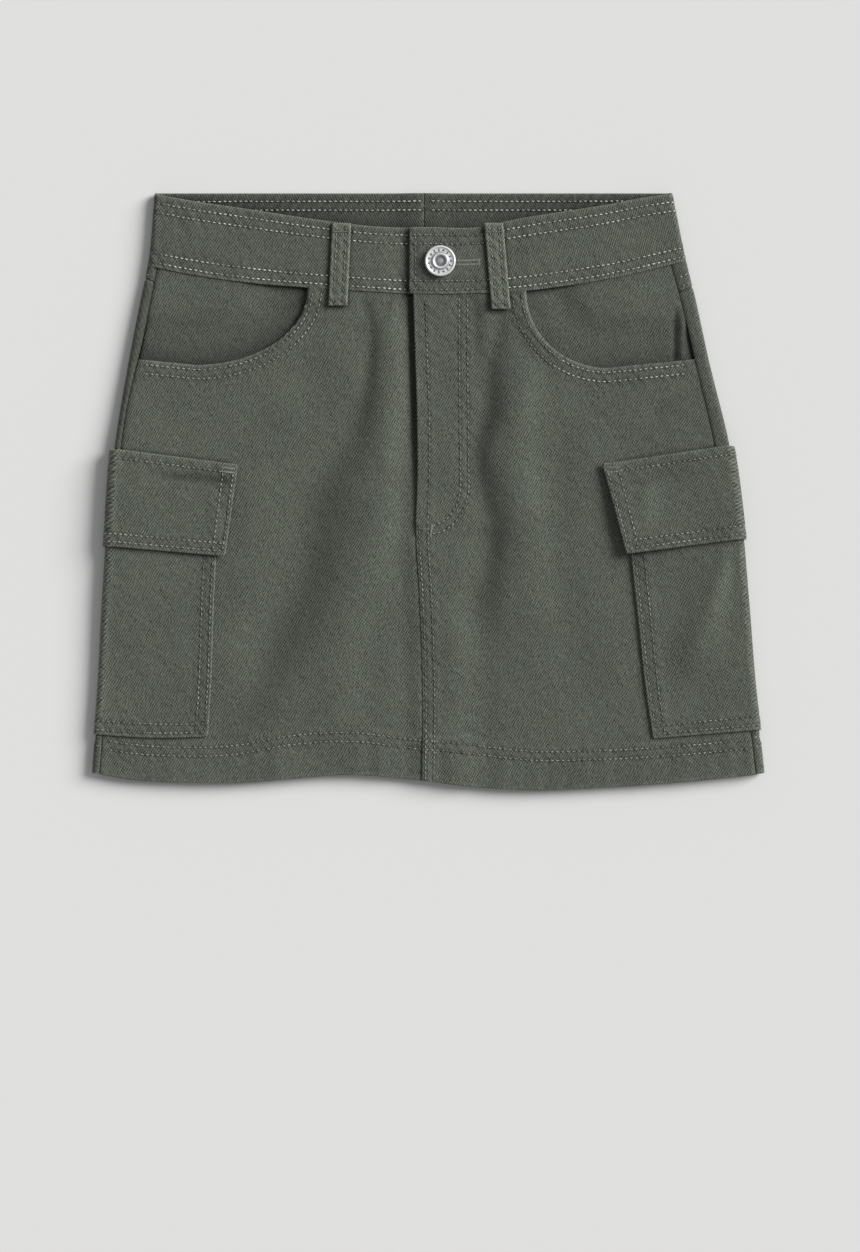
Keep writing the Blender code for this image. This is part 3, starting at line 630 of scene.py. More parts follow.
# ---- stitches
PITCH = 2.85
THREAD_RADIUS = 0.36
# Rings along a stitch: place, width and painted light, darker towards the ends where the thread goes in.
PROFILE = [(-0.65, 0.80, 0.55), (0.0, 1.0, 1.0), (0.65, 0.80, 0.55)]
SIDES = 6


def stitch_mesh(name, starts, ends, normals, radii, arch, bright, finish):
    """Short threads from starts to ends, each rising out of the cloth and going back in."""
    along = (ends - starts) / 2
    centre = (starts + ends) / 2
    length = np.linalg.norm(along, axis=1)[:, None]
    tangent = along / length
    side = np.cross(tangent, normals)
    side /= np.linalg.norm(side, axis=1)[:, None]
    up = np.cross(side, tangent)
    count = len(starts)
    points, shade = [], []
    lift = arch[:, None]
    for end in (-1, 1):
        points.append(centre + along * end - up * lift)
        shade.append(np.zeros(count))
    for at, wide, light in PROFILE:
        for k in range(SIDES):
            angle = 2 * math.pi * k / SIDES
            offset = side * math.cos(angle) + up * math.sin(angle)
            spot = centre + along * at + up * lift * (0.5 - at * at)
            points.append(spot + offset * radii[:, None] * wide)
            shade.append(light * bright)
    each = 2 + len(PROFILE) * SIDES
    points = np.stack(points, 1).reshape(-1, 3)
    shade = np.stack(shade, 1).ravel()
    quads, tris = [], []
    for k in range(SIDES):
        nxt = (k + 1) % SIDES
        tris.append((0, 2 + nxt, 2 + k))
        last = 2 + (len(PROFILE) - 1) * SIDES
        tris.append((1, last + k, last + nxt))
        for ring_index in range(len(PROFILE) - 1):
            low = 2 + ring_index * SIDES
            quads.append((low + k, low + nxt, low + SIDES + nxt, low + SIDES + k))
    shift = (np.arange(count) * each)[:, None, None]
    faces = [
        (np.array(quads)[None] + shift).reshape(-1, 4),
        (np.array(tris)[None] + shift).reshape(-1, 3),
    ]
    return make_object(name, points, faces, {"shade": shade}, finish)


def level_rows(along, rises):
    """Rows of stitches at constant b."""
    return [np.stack([along, 0 * along + rise], 1) for rise in rises]


def row_stitches(cloth, row, pitch):
    """Start and end in surface coordinates of each stitch along a row."""
    path = resample(row, 0.4)
    spots = cloth.surface(path[:, 0], path[:, 1])
    run = np.concatenate([[0], np.cumsum(np.linalg.norm(np.diff(spots, axis=0), axis=1))])
    count = max(1, int(run[-1] / pitch))
    at = (np.arange(count) + 0.5) * run[-1] / count
    half = run[-1] / count * 0.38
    ends = []
    for shift in (-half, half):
        where = at + shift + rng.normal(0, 0.06, count)
        ends.append(np.stack([np.interp(where, run, path[:, i]) for i in range(2)], 1))
    sway = rng.normal(0, 0.05, (count, 2))
    return ends[0] + sway, ends[1] + sway


def add_stitches(cloth, finish):
    """All the stitching on one piece, as one object."""
    starts, ends, radii = [], [], []
    for row in cloth.rows:
        first, second = row_stitches(cloth, row, PITCH)
        starts.append(first)
        ends.append(second)
        radii.append(np.full(len(first), THREAD_RADIUS))
    for first, second, radius in cloth.tacks:
        starts.append(np.array([first]))
        ends.append(np.array([second]))
        radii.append(np.array([radius]))
    if not starts:
        return None
    starts, ends, radii = np.concatenate(starts), np.concatenate(ends), np.concatenate(radii)
    rise = 0.14
    low = cloth.surface(starts[:, 0], starts[:, 1], rise)
    high = cloth.surface(ends[:, 0], ends[:, 1], rise)
    middle = (starts + ends) / 2
    up = cloth.surface(middle[:, 0], middle[:, 1], rise + 0.3)
    up = up - cloth.surface(middle[:, 0], middle[:, 1], rise)
    up /= np.linalg.norm(up, axis=1)[:, None]
    arch = np.full(len(low), 0.2)
    bright = value(cloth.bright, middle[:, 0], middle[:, 1])
    uneven = wave_height(middle[:, 0], middle[:, 1], THREAD_WAVES)
    bright = bright * rng.uniform(0.78, 1.08, len(low)) * np.clip(1 + uneven, 0.5, 1.6)
    made = stitch_mesh("stitches_" + cloth.name, low, high, up, radii, arch, bright, finish)
    return made


def bartack(cloth, start, end, width, pitch=0.42):
    """A dense zigzag between two points, `width` wide."""
    start, end = np.array(start, float), np.array(end, float)
    along = (end - start) / np.linalg.norm(end - start)
    across = np.array([-along[1], along[0]]) * width / 2
    count = int(np.linalg.norm(end - start) / pitch)
    for i in range(count):
        spot = start + along * pitch * (i + 0.5)
        lean = along * pitch * 0.5 * (1 if i % 2 else -1)
        cloth.tacks.append((spot - across - lean, spot + across + lean, 0.21))


# ---- materials
class Finish:
    """A material whose nodes are added one by one."""

    def __init__(self, name):
        self.material = bpy.data.materials.new(name)
        self.material.use_nodes = True
        self.tree = self.material.node_tree
        self.shader = self.tree.nodes["Principled BSDF"]

    def add(self, kind, inputs=None, **settings):
        node = self.tree.nodes.new(kind)
        for name, value in settings.items():
            setattr(node, name, value)
        for socket, value in (inputs or {}).items():
            self.put(node.inputs[socket], value)
        return node.outputs[0]

    def put(self, socket, value):
        if isinstance(value, bpy.types.NodeSocket):
            self.tree.links.new(value, socket)
        else:
            socket.default_value = value

    def math(self, operation, first, second=0.0, third=0.0):
        return self.add("ShaderNodeMath", {0: first, 1: second, 2: third}, operation=operation)

    def attribute(self, name, output):
        node = self.tree.nodes.new("ShaderNodeAttribute")
        node.attribute_name = name
        return node.outputs[output]

    def scaled(self, vector, scale):
        return self.add("ShaderNodeVectorMath", {0: vector, 1: scale}, operation="MULTIPLY")

    def turned(self, vector):
        """Coordinates along and across the diagonal ribs, squeezed along them."""
        turn = (math.sin(TWILL_ANGLE), math.cos(TWILL_ANGLE))
        across = self.along(vector, (turn[0] * 1.35, -turn[1] * 1.35, 0))
        along = self.along(vector, (turn[1] * 0.62, turn[0] * 0.62, 0))
        return self.add("ShaderNodeCombineXYZ", {"X": across, "Y": along})

    def along(self, vector, direction):
        """How far a point lies along a direction."""
        node = self.tree.nodes.new("ShaderNodeVectorMath")
        node.operation = "DOT_PRODUCT"
        self.put(node.inputs[0], vector)
        self.put(node.inputs[1], direction)
        return node.outputs["Value"]

    def object_place(self):
        """Coordinates of the object itself, in metres."""
        return self.tree.nodes.new("ShaderNodeTexCoord").outputs["Object"]

    def blend(self, share, first, second):
        """From one colour to another."""
        node = self.tree.nodes.new("ShaderNodeMix")
        node.data_type = "RGBA"
        for socket, given in (("Factor", share), (6, (*first, 1)), (7, (*second, 1))):
            self.put(node.inputs[socket], given)
        return node.outputs[2]

    def varied(self, field, amount, base):
        """base, plus `amount` times how far a noise is from its middle."""
        return self.math("MULTIPLY_ADD", self.math("SUBTRACT", field, 0.5), amount, base)

    def tinted(self, colour, amount):
        """A colour made lighter or darker by a factor."""
        return self.add("ShaderNodeVectorMath", {0: colour, "Scale": amount}, operation="SCALE")

    def noise(self, vector, scale, detail=2.0, roughness=0.5):
        """Noise from about 0 to 1; scale is how many features there are to a unit."""
        return self.add(
            "ShaderNodeTexNoise",
            {"Vector": vector, "Scale": scale, "Detail": detail, "Roughness": roughness},
        )

    def finish(self, colour, height, distance, **constants):
        self.put(self.shader.inputs["Base Color"], colour)
        bump = self.add("ShaderNodeBump", {"Height": height, "Distance": distance})
        self.put(self.shader.inputs["Normal"], bump)
        for name, value in constants.items():
            self.shader.inputs[name.replace("_", " ")].default_value = value
        return self.material


TWILL_PERIOD = 1.20            # from one diagonal rib to the next
TWILL_ANGLE = math.radians(61)
TWILL_COLOUR = (0.0940, 0.1055, 0.0850)
THREAD_COLOUR = (0.60, 0.615, 0.55)
NICKEL = (0.86, 0.87, 0.87)
# painted shade in the button's recesses and on its rim
RECESS_SHADE = (0.085, 0.10, 0.12)
TAPE_COLOUR = (0.060, 0.068, 0.055)


def twill_finish(name):
    """Diagonal ribs of short slubby floats, lighter or darker by the wear and the painted shade and light.
    """
    finish = Finish(name)
    grain = finish.attribute("grain", "Vector")
    wear = finish.attribute("wear", "Fac")
    sway = finish.noise(grain, 0.16, 2.0)
    across = (math.sin(TWILL_ANGLE) / TWILL_PERIOD, -math.cos(TWILL_ANGLE) / TWILL_PERIOD, 0)
    phase = finish.math("MULTIPLY_ADD", sway, 1.1, finish.along(grain, across))
    rib = finish.math("SINE", finish.math("MULTIPLY", phase, 2 * math.pi))
    yarn_phase = finish.math("MULTIPLY_ADD", phase, 0.5, finish.along(grain, (0.13, 0.75, 0)))
    yarn = finish.math("SINE", finish.math("MULTIPLY", yarn_phase, 2 * math.pi))
    patches = finish.noise(grain, 0.22, 2.0)
    weave = finish.math("MULTIPLY_ADD", yarn, 0.45, rib)
    weave = finish.math("MULTIPLY", weave, finish.math("MULTIPLY_ADD", patches, 1.6, 0.1))
    slub = finish.noise(finish.scaled(grain, (1.1, 0.22, 1.0)), 1.0, 2.0, 0.6)
    fleck = finish.noise(finish.turned(grain), 0.8, 1.5, 0.6)
    cloud = finish.noise(grain, 0.03, 3.0, 0.55)
    tone = finish.math("MULTIPLY_ADD", weave, 0.42, 0.985)
    for field, amount in ((slub, 1.0), (fleck, 1.6), (cloud, 0.42)):
        tone = finish.varied(field, amount, tone)
    tone = finish.math("MULTIPLY", tone, finish.math("ADD", wear, 1.0))
    tone = finish.math("MAXIMUM", tone, 0.08)
    shift = finish.noise(grain, 0.05, 2.0)
    red, green, blue = TWILL_COLOUR
    cooler, warmer = (red * 0.97, green, blue * 1.03), (red * 1.03, green, blue * 0.97)
    colour = finish.blend(shift, cooler, warmer)
    height = finish.math("MULTIPLY_ADD", fleck, 2.0, weave)
    return finish.finish(
        finish.tinted(colour, tone), height, 0.00006,
        Roughness=0.86, Sheen_Weight=0.10, Sheen_Roughness=0.55, Specular_IOR_Level=0.25,
    )


def thread_finish():
    """Twisted thread, with painted shade where it goes into the cloth."""
    finish = Finish("thread")
    shade = finish.attribute("shade", "Fac")
    twist = finish.noise(finish.object_place(), 900.0, 2.0)
    light = finish.varied(twist, 0.5, finish.math("MULTIPLY_ADD", shade, 0.92, 0.08))
    return finish.finish(
        finish.tinted(THREAD_COLOUR, light), twist, 0.00005,
        Roughness=0.6, Sheen_Weight=0.1, Specular_IOR_Level=0.35,
    )


def metal_finish():
    """Bright brushed nickel, with painted greyish blue shade in the recesses and a painted shadow on the
    rim.
    """
    finish = Finish("button_metal")
    recess_shade = finish.attribute("recess_shade", "Fac")
    place = finish.object_place()
    wear = finish.noise(place, 1400.0, 3.0, 0.6)
    blotch = finish.noise(place, 300.0, 2.0)
    light = finish.varied(blotch, 0.3, 1.0)
    colour = finish.tinted(finish.blend(recess_shade, NICKEL, RECESS_SHADE), light)
    return finish.finish(colour, wear, 0.00003, Metallic=0.35, Roughness=0.36)


def tape_finish():
    """Fine herringbone of a zip tape."""
    finish = Finish("zip_tape")
    place = finish.object_place()
    ribs = finish.math("SINE", finish.along(place, (4200.0, 4200.0, 0)))
    grain = finish.noise(place, 1500.0, 2.0)
    light = finish.math("MULTIPLY_ADD", ribs, 0.12, finish.math("MULTIPLY_ADD", grain, 0.3, 0.85))
    return finish.finish(finish.tinted(TAPE_COLOUR, light), ribs, 0.00005, Roughness=0.85)


TWILL = twill_finish("twill")
THREAD = thread_finish()

# ---- front panels
TUCK = 2.5                     # how far a panel goes on under the waistband
GAUGE = 4.8                    # between two rows of stitches
PANEL_SPACING = 1.3
PANEL_ROWS = 270.0             # nominal height of a front panel's grid
HEM_STITCH = table("x rise", [
    (-164.0, 19.3),
    (-113.0, 19.9),
    (-75.0, 23.4),
    (-42.0, 23.1),
    (-10.0, 21.9),
    (21.0, 22.9),
    (60.0, 21.1),
    (99.0, 20.2),
    (179.0, 19.6),
])


def flat_weave(x, y):
    return x + 0.0 * y, y + 0.0 * x


def hem_rise(x):
    return read(HEM_STITCH, "rise", x)


def hem_rows(start, end):
    x = np.arange(start, end, 2.5)
    top = hem_edge(x) + hem_rise(x)
    return [np.stack([x, top], 1), np.stack([x, top - GAUGE], 1)]


def mouth_slope(mouth):
    """Rise of the mouth's straight part, from the scoop's lowest point to the side seam."""
    return (mouth.side_y - mouth.centre_y + mouth.deep) / (mouth.side_x - mouth.centre_x)


def mouth_path(side, grow):
    """The scoop's edge, from under the waistband to beyond the side seam."""
    mouth = MOUTHS[side]
    angle = np.linspace(0, math.pi / 2, 48)
    x = mouth.centre_x - side * (mouth.wide + grow) * np.cos(angle)
    y = mouth.centre_y - (mouth.deep + grow) * np.sin(angle)
    low = mouth.centre_y - mouth.deep
    far = mouth.centre_x + side * np.linspace(4, abs(mouth.side_x - mouth.centre_x) + 20, 16)
    curve = np.stack([x, y], 1)
    straight = np.stack([far, low - grow + mouth_slope(mouth) * (far - mouth.centre_x)], 1)
    return np.concatenate([[(x[0], mouth.centre_y + 25)], curve, straight])


def mouth_distance(side, x, y, grow=0.0):
    """Signed distance from the scoop's edge, positive outside it, and the nearest point."""
    path = mouth_path(side, grow)
    mouth = MOUTHS[side]
    best = np.full(x.shape, 1e9)
    near = np.stack([x, y], -1)
    for start, end in zip(path[:-1], path[1:]):
        run = end - start
        t = np.clip(((x - start[0]) * run[0] + (y - start[1]) * run[1]) / (run @ run), 0, 1)
        spot_x, spot_y = start[0] + t * run[0], start[1] + t * run[1]
        gap = np.hypot(x - spot_x, y - spot_y)
        closer = gap < best
        best = np.where(closer, gap, best)
        near = np.where(closer[..., None], np.stack([spot_x, spot_y], -1), near)
    across = (x - mouth.centre_x) * -side / (mouth.wide + grow)
    down = (mouth.centre_y - y) / (mouth.deep + grow)
    in_scoop = (across > 0) & (across < 1) & ((down < 0) | (across ** 2 + down ** 2 < 1))
    low = mouth.centre_y - mouth.deep
    above_line = (across <= 0) & (y > low - grow + mouth_slope(mouth) * (x - mouth.centre_x))
    return np.where(in_scoop | above_line, -best, best), near


def trimmed(a, b, edge, distance, near, spacing):
    """A grid cut along a curve: its points close to the curve move onto it."""
    close = np.abs(distance) < 0.53 * spacing
    a = np.where(close, near[..., 0], a)
    b = np.where(close, near[..., 1], b)
    edge = np.minimum(edge, np.where(close, 0, np.abs(distance)))
    return a, b, edge, (distance > 0) | close


def fly_rows():
    """The lapped edge's stitching and the double curved row of the fly."""
    y = np.linspace(-158, -18, 60)
    rows = [np.stack([front_edge(y) + 1.9, y], 1)]
    y = np.linspace(-158, 104, 100)
    rows.append(np.stack([front_edge(y) + 6.6, y], 1))
    for inner in (0.0, GAUGE - 0.3):
        turn = np.linspace(0, math.pi / 2, 14)
        wide, deep = 20.5 - inner, 27.0 - inner
        curve = np.stack([22.0 - inner - wide * (1 - np.cos(turn)), 4.0 - deep * np.sin(turn)], 1)
        straight = [(21.2 - inner, 106.0), (21.4 - inner, 60.0), (22.0 - inner, 8.0)]
        rows.append(np.concatenate([straight, curve]))
    return rows


def above_hem(y):
    """0 on the hem, rising to 1 above it."""
    return step(-138, -118, y)


def beside_loops(x, y):
    """Painted soft shade right beside the front belt loops."""
    dark = 0.0
    for loop in FRONT_LOOPS.values():
        share = (y - loop.bottom_y) / (loop.top_y - loop.bottom_y)
        across = np.abs(x - mix(loop.bottom_x, loop.top_x, share)) - LOOP_WIDTH / 2
        beyond = np.clip(np.abs(share - 0.5) - 0.5, 0, None) * (loop.top_y - loop.bottom_y)
        dark = dark + 0.45 * bell(np.hypot(np.clip(across, 0, None), beyond), 1.5)
    return dark


def patch_top(side, x):
    """Height of the flap's upper edge across the front."""
    top = FLAPS[side].top
    return top - row_drop(side, top, np.abs(outline(side, top) - x))


def front_panel(side):
    def start_x(y):
        return seam_x(LEFT, y) + 0.06 if side == LEFT else front_edge(y)

    def end_x(y):
        return front_edge(y) + UNDERLAP if side == LEFT else seam_x(RIGHT, y) - 0.06

    def place(x, y, level):
        puckered = (1 - step(12, 30, y - hem_edge(x))) * 0.55
        z = front_height(x, y) + level + puckered * wave_height(x, 6.0 + 0 * y, PUCKERS)
        lapped = x - front_edge(y)
        sewn = 1 - step(-18, 52, y)
        if side == RIGHT:
            z = z + lap(x, y) - 0.35 * sewn * (1 - step(0, 3, lapped))
        else:
            rise = step(-10, -0.8, lapped) * (1 - step(-0.3, 1.0, lapped))
            z = z + 0.9 * sewn * rise - 1.5 * (1 - sewn) * bell(lapped + 1.2, 2.2)
        return points_at(x, y, z)

    def outer(x, y):
        up = y - hem_edge(x)
        fold = hem_rise(x) + 1.2
        level = mix(HEM_CLOTH, CLOTH, step(fold, fold + 1.6, up)) + 0.15 * bell(up - 1.2, 1.4)
        level = level - 0.4 * bell(x - seam_x(side, y), 1.1)
        level = level - 0.4 * step(0, 1.6, y - band_bottom(x))
        away, _ = mouth_distance(side, np.atleast_1d(x), np.atleast_1d(y))
        gape = step(-0.2, 1, (x - MOUTHS[side].centre_x) * -side / MOUTHS[side].wide)
        level = level + 0.28 * (1 - step(8.8, 10.2, away)) + 0.8 * gape * bell(away, 6)
        if side == RIGHT:
            lapped = x - front_edge(y)
            level = level + 0.25 * (1 - step(8.0, 9.6, lapped)) + 0.15 * bell(lapped - 0.8, 1.2)
        return level

    width = float(end_x(-60.0) - start_x(-60.0))
    share = lines(width, PANEL_SPACING) / width
    up = lines(PANEL_ROWS, PANEL_SPACING, last=False)
    share, up = np.meshgrid(share, up)
    hem_x = mix(start_x(-157.0), end_x(-157.0), share)
    top_x = mix(start_x(110.0), end_x(110.0), share)
    low, high = hem_edge(hem_x), band_bottom(top_x) + TUCK
    y = mix(low, high, up / PANEL_ROWS)
    x = mix(start_x(y), end_x(y), share)
    edge = np.minimum(np.minimum(share, 1 - share) * width, up)
    distance, near = mouth_distance(side, x, y)
    x, y, edge, keep = trimmed(x, y, edge, distance, near, PANEL_SPACING)

    def tone(x, y):
        """Painted shade and light of the folds, painted shade by loops, seam, flap and lap, and painted
        light beside the lapped edge.
        """
        painted_shading = -beside_loops(x, y) - 0.22 * bell(band_bottom(x) - y, 1.3)
        painted_shading = painted_shading + fold_shade(x, y, CREASES, FOLD_SHADE)
        painted_shading = painted_shading + fold_shade(x, y, SMALL_CREASES, SMALL_FOLD_SHADE)
        beside = x - seam_x(side, y)
        deep = above_hem(y)
        # Painted shade along the side seam.
        painted_shading = painted_shading - mix(0.42, 0.78, deep) * bell(beside, 0.9) - 0.12 * deep * bell(beside, 2.6)
        lapped = x - front_edge(y)
        if side == RIGHT:
            # Painted light beside the lapped edge.
            painted_shading = painted_shading + 0.20 * bell(lapped - 5.0, 2.4) * (1 - step(-142, -126, y))
        over = y - patch_top(side, x)
        beside_flap = np.abs(outline(side, y) - x) < FLAPS[side].front
        # Painted shade just above the flap's top edge.
        painted_shading = painted_shading - 0.40 * bell(over - 0.4, 1.1) * beside_flap
        if side == LEFT:
            # Painted shadow of the lapped edge on the left panel.
            painted_shading = painted_shading - 0.6 * step(-18, 50, y) * bell(x - front_edge(y) + 0.9, 2.3)
        return painted_shading, 0.0

    def bright(x, y):
        fly = (x < 30) & (x > -12) & (y > -150)
        scoop = mix(0.28, 0.80, step(62, 78, x)) if side == RIGHT else 0.50
        return np.where(fly, 0.30, np.where(y < -120, 0.42, scoop))

    seam = -175.0 if side == LEFT else 177.0
    rows = [mouth_path(side, 2.7)[2:], mouth_path(side, 7.6)[2:]]
    rows = [row[(row[:, 0] - seam_x(side, row[:, 1])) * side < -1.5] for row in rows]
    if side == LEFT:
        rows += hem_rows(seam, 4)
    else:
        rows += hem_rows(-2.4, seam) + fly_rows()
    cloth = Cloth("front_panel_" + SIDE_NAME[side], place, outer, 0.2, rows, flat_weave)
    cloth.tone, cloth.bright = tone, bright
    if side == RIGHT:
        bartack(cloth, (-6.4, -20.2), (0.6, -20.6), 1.6)
        bartack(cloth, (1.0, -24.5), (2.2, -18.0), 1.6)
    return cloth.build(x, y, edge, TWILL, keep)


VISIBLE_DIP = 1.9              # how far a facing lies below the panel where it shows
FACING_WIDTH = 90.0            # nominal


def pocket_facing(side):
    mouth = MOUTHS[side]
    reach_x = mouth.centre_x - side * (mouth.wide + FACING_REACH + 3)
    bottom_y = mouth.centre_y - mouth.deep - FACING_REACH - 4

    def place(x, y, level):
        across = np.clip((x - mouth.centre_x) / (mouth.wide - 16) * -side, 0, None)
        down = np.clip((mouth.centre_y - y) / (mouth.deep - 16), 0, None)
        dip = VISIBLE_DIP * step(0.45, 1.0, np.hypot(across, down))
        return points_at(x, y, front_height(x, y) - dip + level)

    def outer(x, y):
        level = CLOTH - 0.4 * bell(x - seam_x(side, y), 1.1)
        level = level - 0.4 * step(0, 1.6, y - band_bottom(x))
        if side == RIGHT:      # the facing gapes beside the seam allowance
            along = step(68, 74, y) * (1 - step(92, 103, y))
            level = level - 1.3 * along * bell(x - 135.2, 1.5)
            level = level + 0.45 * along * bell(x - 139.0, 2.2)
        return level

    up = np.linspace(0, 1, 60)[:, None]
    across = lines(FACING_WIDTH, PANEL_SPACING)[None, :] / FACING_WIDTH
    if side == RIGHT:
        across = 1 - across[:, ::-1]
    y = mix(bottom_y, 118.0, up) + 0 * across
    for _ in range(3):
        seam_side = seam_x(side, y) - side * 0.06
        x = mix(seam_side, reach_x, across) if side == LEFT else mix(reach_x, seam_side, across)
        y = mix(bottom_y, band_bottom(x) + TUCK, up)

    def tone(x, y):
        """Painted shade towards the mouth's edge, the waistband and the side seam."""
        away, _ = mouth_distance(side, x, y)
        strong = 0.60 if side == LEFT else 0.16 + 0.30 * step(62, 100, x)
        painted_shading = -strong * np.exp(np.clip(away, None, 0) / (10.0 if side == LEFT else 8.0))
        beside = x - seam_x(side, y)
        painted_shading = painted_shading - 0.30 * bell(band_bottom(x) - y, 2.0)
        painted_shading = painted_shading - 0.75 * bell(beside, 0.9) - 0.12 * bell(beside, 2.6)
        if side == RIGHT:
            painted_shading = painted_shading - 0.5 * step(68, 74, y) * (1 - step(92, 103, y)) * bell(x - 135.2, 1.8)
        return painted_shading, 0.0

    distance, near = mouth_distance(side, x, y, FACING_REACH)
    edge = np.minimum(across, 1 - across) * FACING_WIDTH + 0 * up
    x, y, edge, keep = trimmed(x, y, edge, -distance, near, 1.5)
    cloth = Cloth("pocket_facing_" + SIDE_NAME[side], place, outer, 0.2, (), flat_weave)
    cloth.tone = tone
    return cloth.build(x, y, edge, TWILL, keep)


# ---- back panel and yoke
STRIP = 8.0                    # nominal width of the strip in front of each fold
HALF_BACK = 80.0
MIDDLE_BACK = 200.0
BACK_LENGTH = 2 * HALF_BACK + MIDDLE_BACK


def either(side, reader, at):
    return np.where(side > 0, reader(RIGHT, at), reader(LEFT, at))


def back_girth(a, y):
    """Side of the skirt and signed distance from its fold, along the back's coordinate."""
    side = np.where(a < BACK_LENGTH / 2, RIGHT, LEFT)
    from_fold = np.where(side > 0, a, BACK_LENGTH - a)
    edge_right, edge_left = outline(RIGHT, y), outline(LEFT, y)
    share = (a - HALF_BACK) / MIDDLE_BACK
    x = mix(edge_right - HALF_BACK, edge_left + HALF_BACK, share)
    middle = -np.abs(np.where(side > 0, edge_right, edge_left) - x)
    strip = -from_fold / STRIP * either(side, seam_inset, y)
    girth = np.where(from_fold < 0, strip, np.where(from_fold > HALF_BACK, middle, -from_fold))
    return side, girth


def back_ring(side, girth, y, low, level, core):
    """Ring points of pieces that cover both sides of the skirt."""
    edge = either(side, outline, y)
    x = edge - side * np.abs(girth)
    high = side_height(y) + 0 * girth
    near = girth > -8
    if near.any():
        front_x = edge - side * np.maximum(np.abs(girth), 3.5)
        high = np.where(near, front_height(front_x, y), high)
    for crease in BACK_CREASES:
        low = low + crease_depth(x, y, crease) * step(-15, -40, girth)
    radius = (high - low) / 2
    reach = core + radius
    turn = np.clip(girth / reach, -1, 1) * (math.pi / 2)
    flat = np.clip(np.abs(girth) - reach, 0, None)
    out = radius + level
    x = edge + side * (out * np.cos(turn) - reach - flat)
    return points_at(x, y, (high + low) / 2 + out * np.sin(turn))


def back_weave(a, b, y_of):
    y = y_of(a, b)
    side, girth = back_girth(a, y)
    right, left = outline(RIGHT, y), outline(LEFT, y)
    return np.where(side > 0, right - girth, 2 * right - left + girth), y


def yoke_seam(a):
    """The yoke's lower edge: straight from each fold down to the centre back."""
    side, girth = back_girth(a, 100.0 + 0 * a)
    half = np.abs(either(side, outline, 100.0 + 0 * a) - CENTRE_BACK)
    at_side = np.where(side > 0, YOKE_SIDE[RIGHT], YOKE_SIDE[LEFT])
    inset = np.clip(-girth, 0, None)
    return mix(at_side, YOKE_CENTRE, np.clip(inset / half, 0, 1)) - 3.0 * step(0, 8, girth)


def band_fold_bottom(side):
    return np.where(side > 0, FOLD_BAND_BOTTOM[RIGHT], FOLD_BAND_BOTTOM[LEFT])


def back_lines():
    """Grid columns from seam to seam, close together round the folds."""
    strip = -STRIP + lines(STRIP, 0.9, last=False)
    fold = np.arange(0.5, 12, 0.6)
    side = np.arange(12.5, HALF_BACK, 2.2)
    middle = np.linspace(HALF_BACK, BACK_LENGTH / 2, 42, endpoint=False)
    half = np.concatenate([strip, fold, side, middle])
    return np.concatenate([half, [BACK_LENGTH / 2], BACK_LENGTH - half[::-1]])


def seam_distance(a):
    """From a point of the back to the side seam that its strip ends on."""
    return np.minimum(a + STRIP, BACK_LENGTH + STRIP - a)


def strip_tone(a, b):
    """Painted shade beside the side seams, where the strips of the back end on the front."""
    strip_end = seam_distance(a)
    deep = above_hem(b)
    painted_shading = -mix(0.42, 0.78, deep) * bell(strip_end, 0.9)
    return painted_shading - 0.12 * deep * (1 - step(STRIP - 3, STRIP + 2, strip_end)), 0.0


LATITUDE_TOP = 46.0            # rows follow latitudes below this and the yoke above it
PANEL_TOP = 84.0


def back_y(a, b):
    """y of the back panel's rows."""
    side, girth = back_girth(a, b)
    edge = either(side, outline, b)
    x = edge - side * np.abs(girth)
    inset = np.clip(-girth, 0, None)
    low_b = np.minimum(b, LATITUDE_TOP)
    own = np.where(side > 0, row_drop(RIGHT, low_b, inset), row_drop(LEFT, low_b, inset))
    both = mix(row_drop(LEFT, low_b, 99.0), row_drop(RIGHT, low_b, 99.0), np.clip((x + 60) / 120, 0, 1))
    y = low_b - np.where(inset > HALF_BACK, both, own)
    y = y + (hem_edge(edge) - BACK_HEM) * step(0, 5, girth) * (1 - step(-150, -120, b))
    above = np.clip((b - LATITUDE_TOP) / (PANEL_TOP - LATITUDE_TOP), 0, 1)
    return mix(y, yoke_seam(a) + 1.8, above)


def back_panel():
    def place(a, b, level):
        y = back_y(a, b)
        side, girth = back_girth(a, y)
        x = either(side, outline, y) - side * np.abs(girth)
        low = back_height(np.minimum(b, PANEL_TOP), np.clip(-girth, 0, None)) + loop_rise(x, y)
        tuck = 0.7 * step(-1.6, -0.1, y - yoke_seam(a))
        return back_ring(side, girth, y, low, level - tuck, CLOTH)

    def outer(a, b):
        y = back_y(a, b)
        side, girth = back_girth(a, y)
        front = step(0, 3, girth)
        fold = mix(-138.0, hem_edge(either(side, outline, y)) + 21.0, front)
        thick = mix(HEM_CLOTH, CLOTH, step(0, 3.0, y - fold) * front
                    + step(-138.0, -135.0, b) * (1 - front))
        return thick - 0.4 * bell(seam_distance(a), 1.1)

    up = lines(PANEL_TOP - BACK_HEM, 2.2, last=False)
    a, b = np.meshgrid(back_lines(), BACK_HEM + up)
    edge = np.minimum(seam_distance(a), b - BACK_HEM)
    along = np.arange(-STRIP + 1.5, BACK_LENGTH + STRIP - 1.5, 2.5)
    rows = level_rows(along, (BACK_HEM + 15.2, BACK_HEM + 20.0))
    cloth = Cloth("back_panel", place, outer, 0.2, rows, lambda a, b: back_weave(a, b, back_y))
    cloth.tone, cloth.bright = strip_tone, 0.42
    return cloth.build(a, b, edge, TWILL)


YOKE_ROWS = 40.0               # nominal height of the yoke


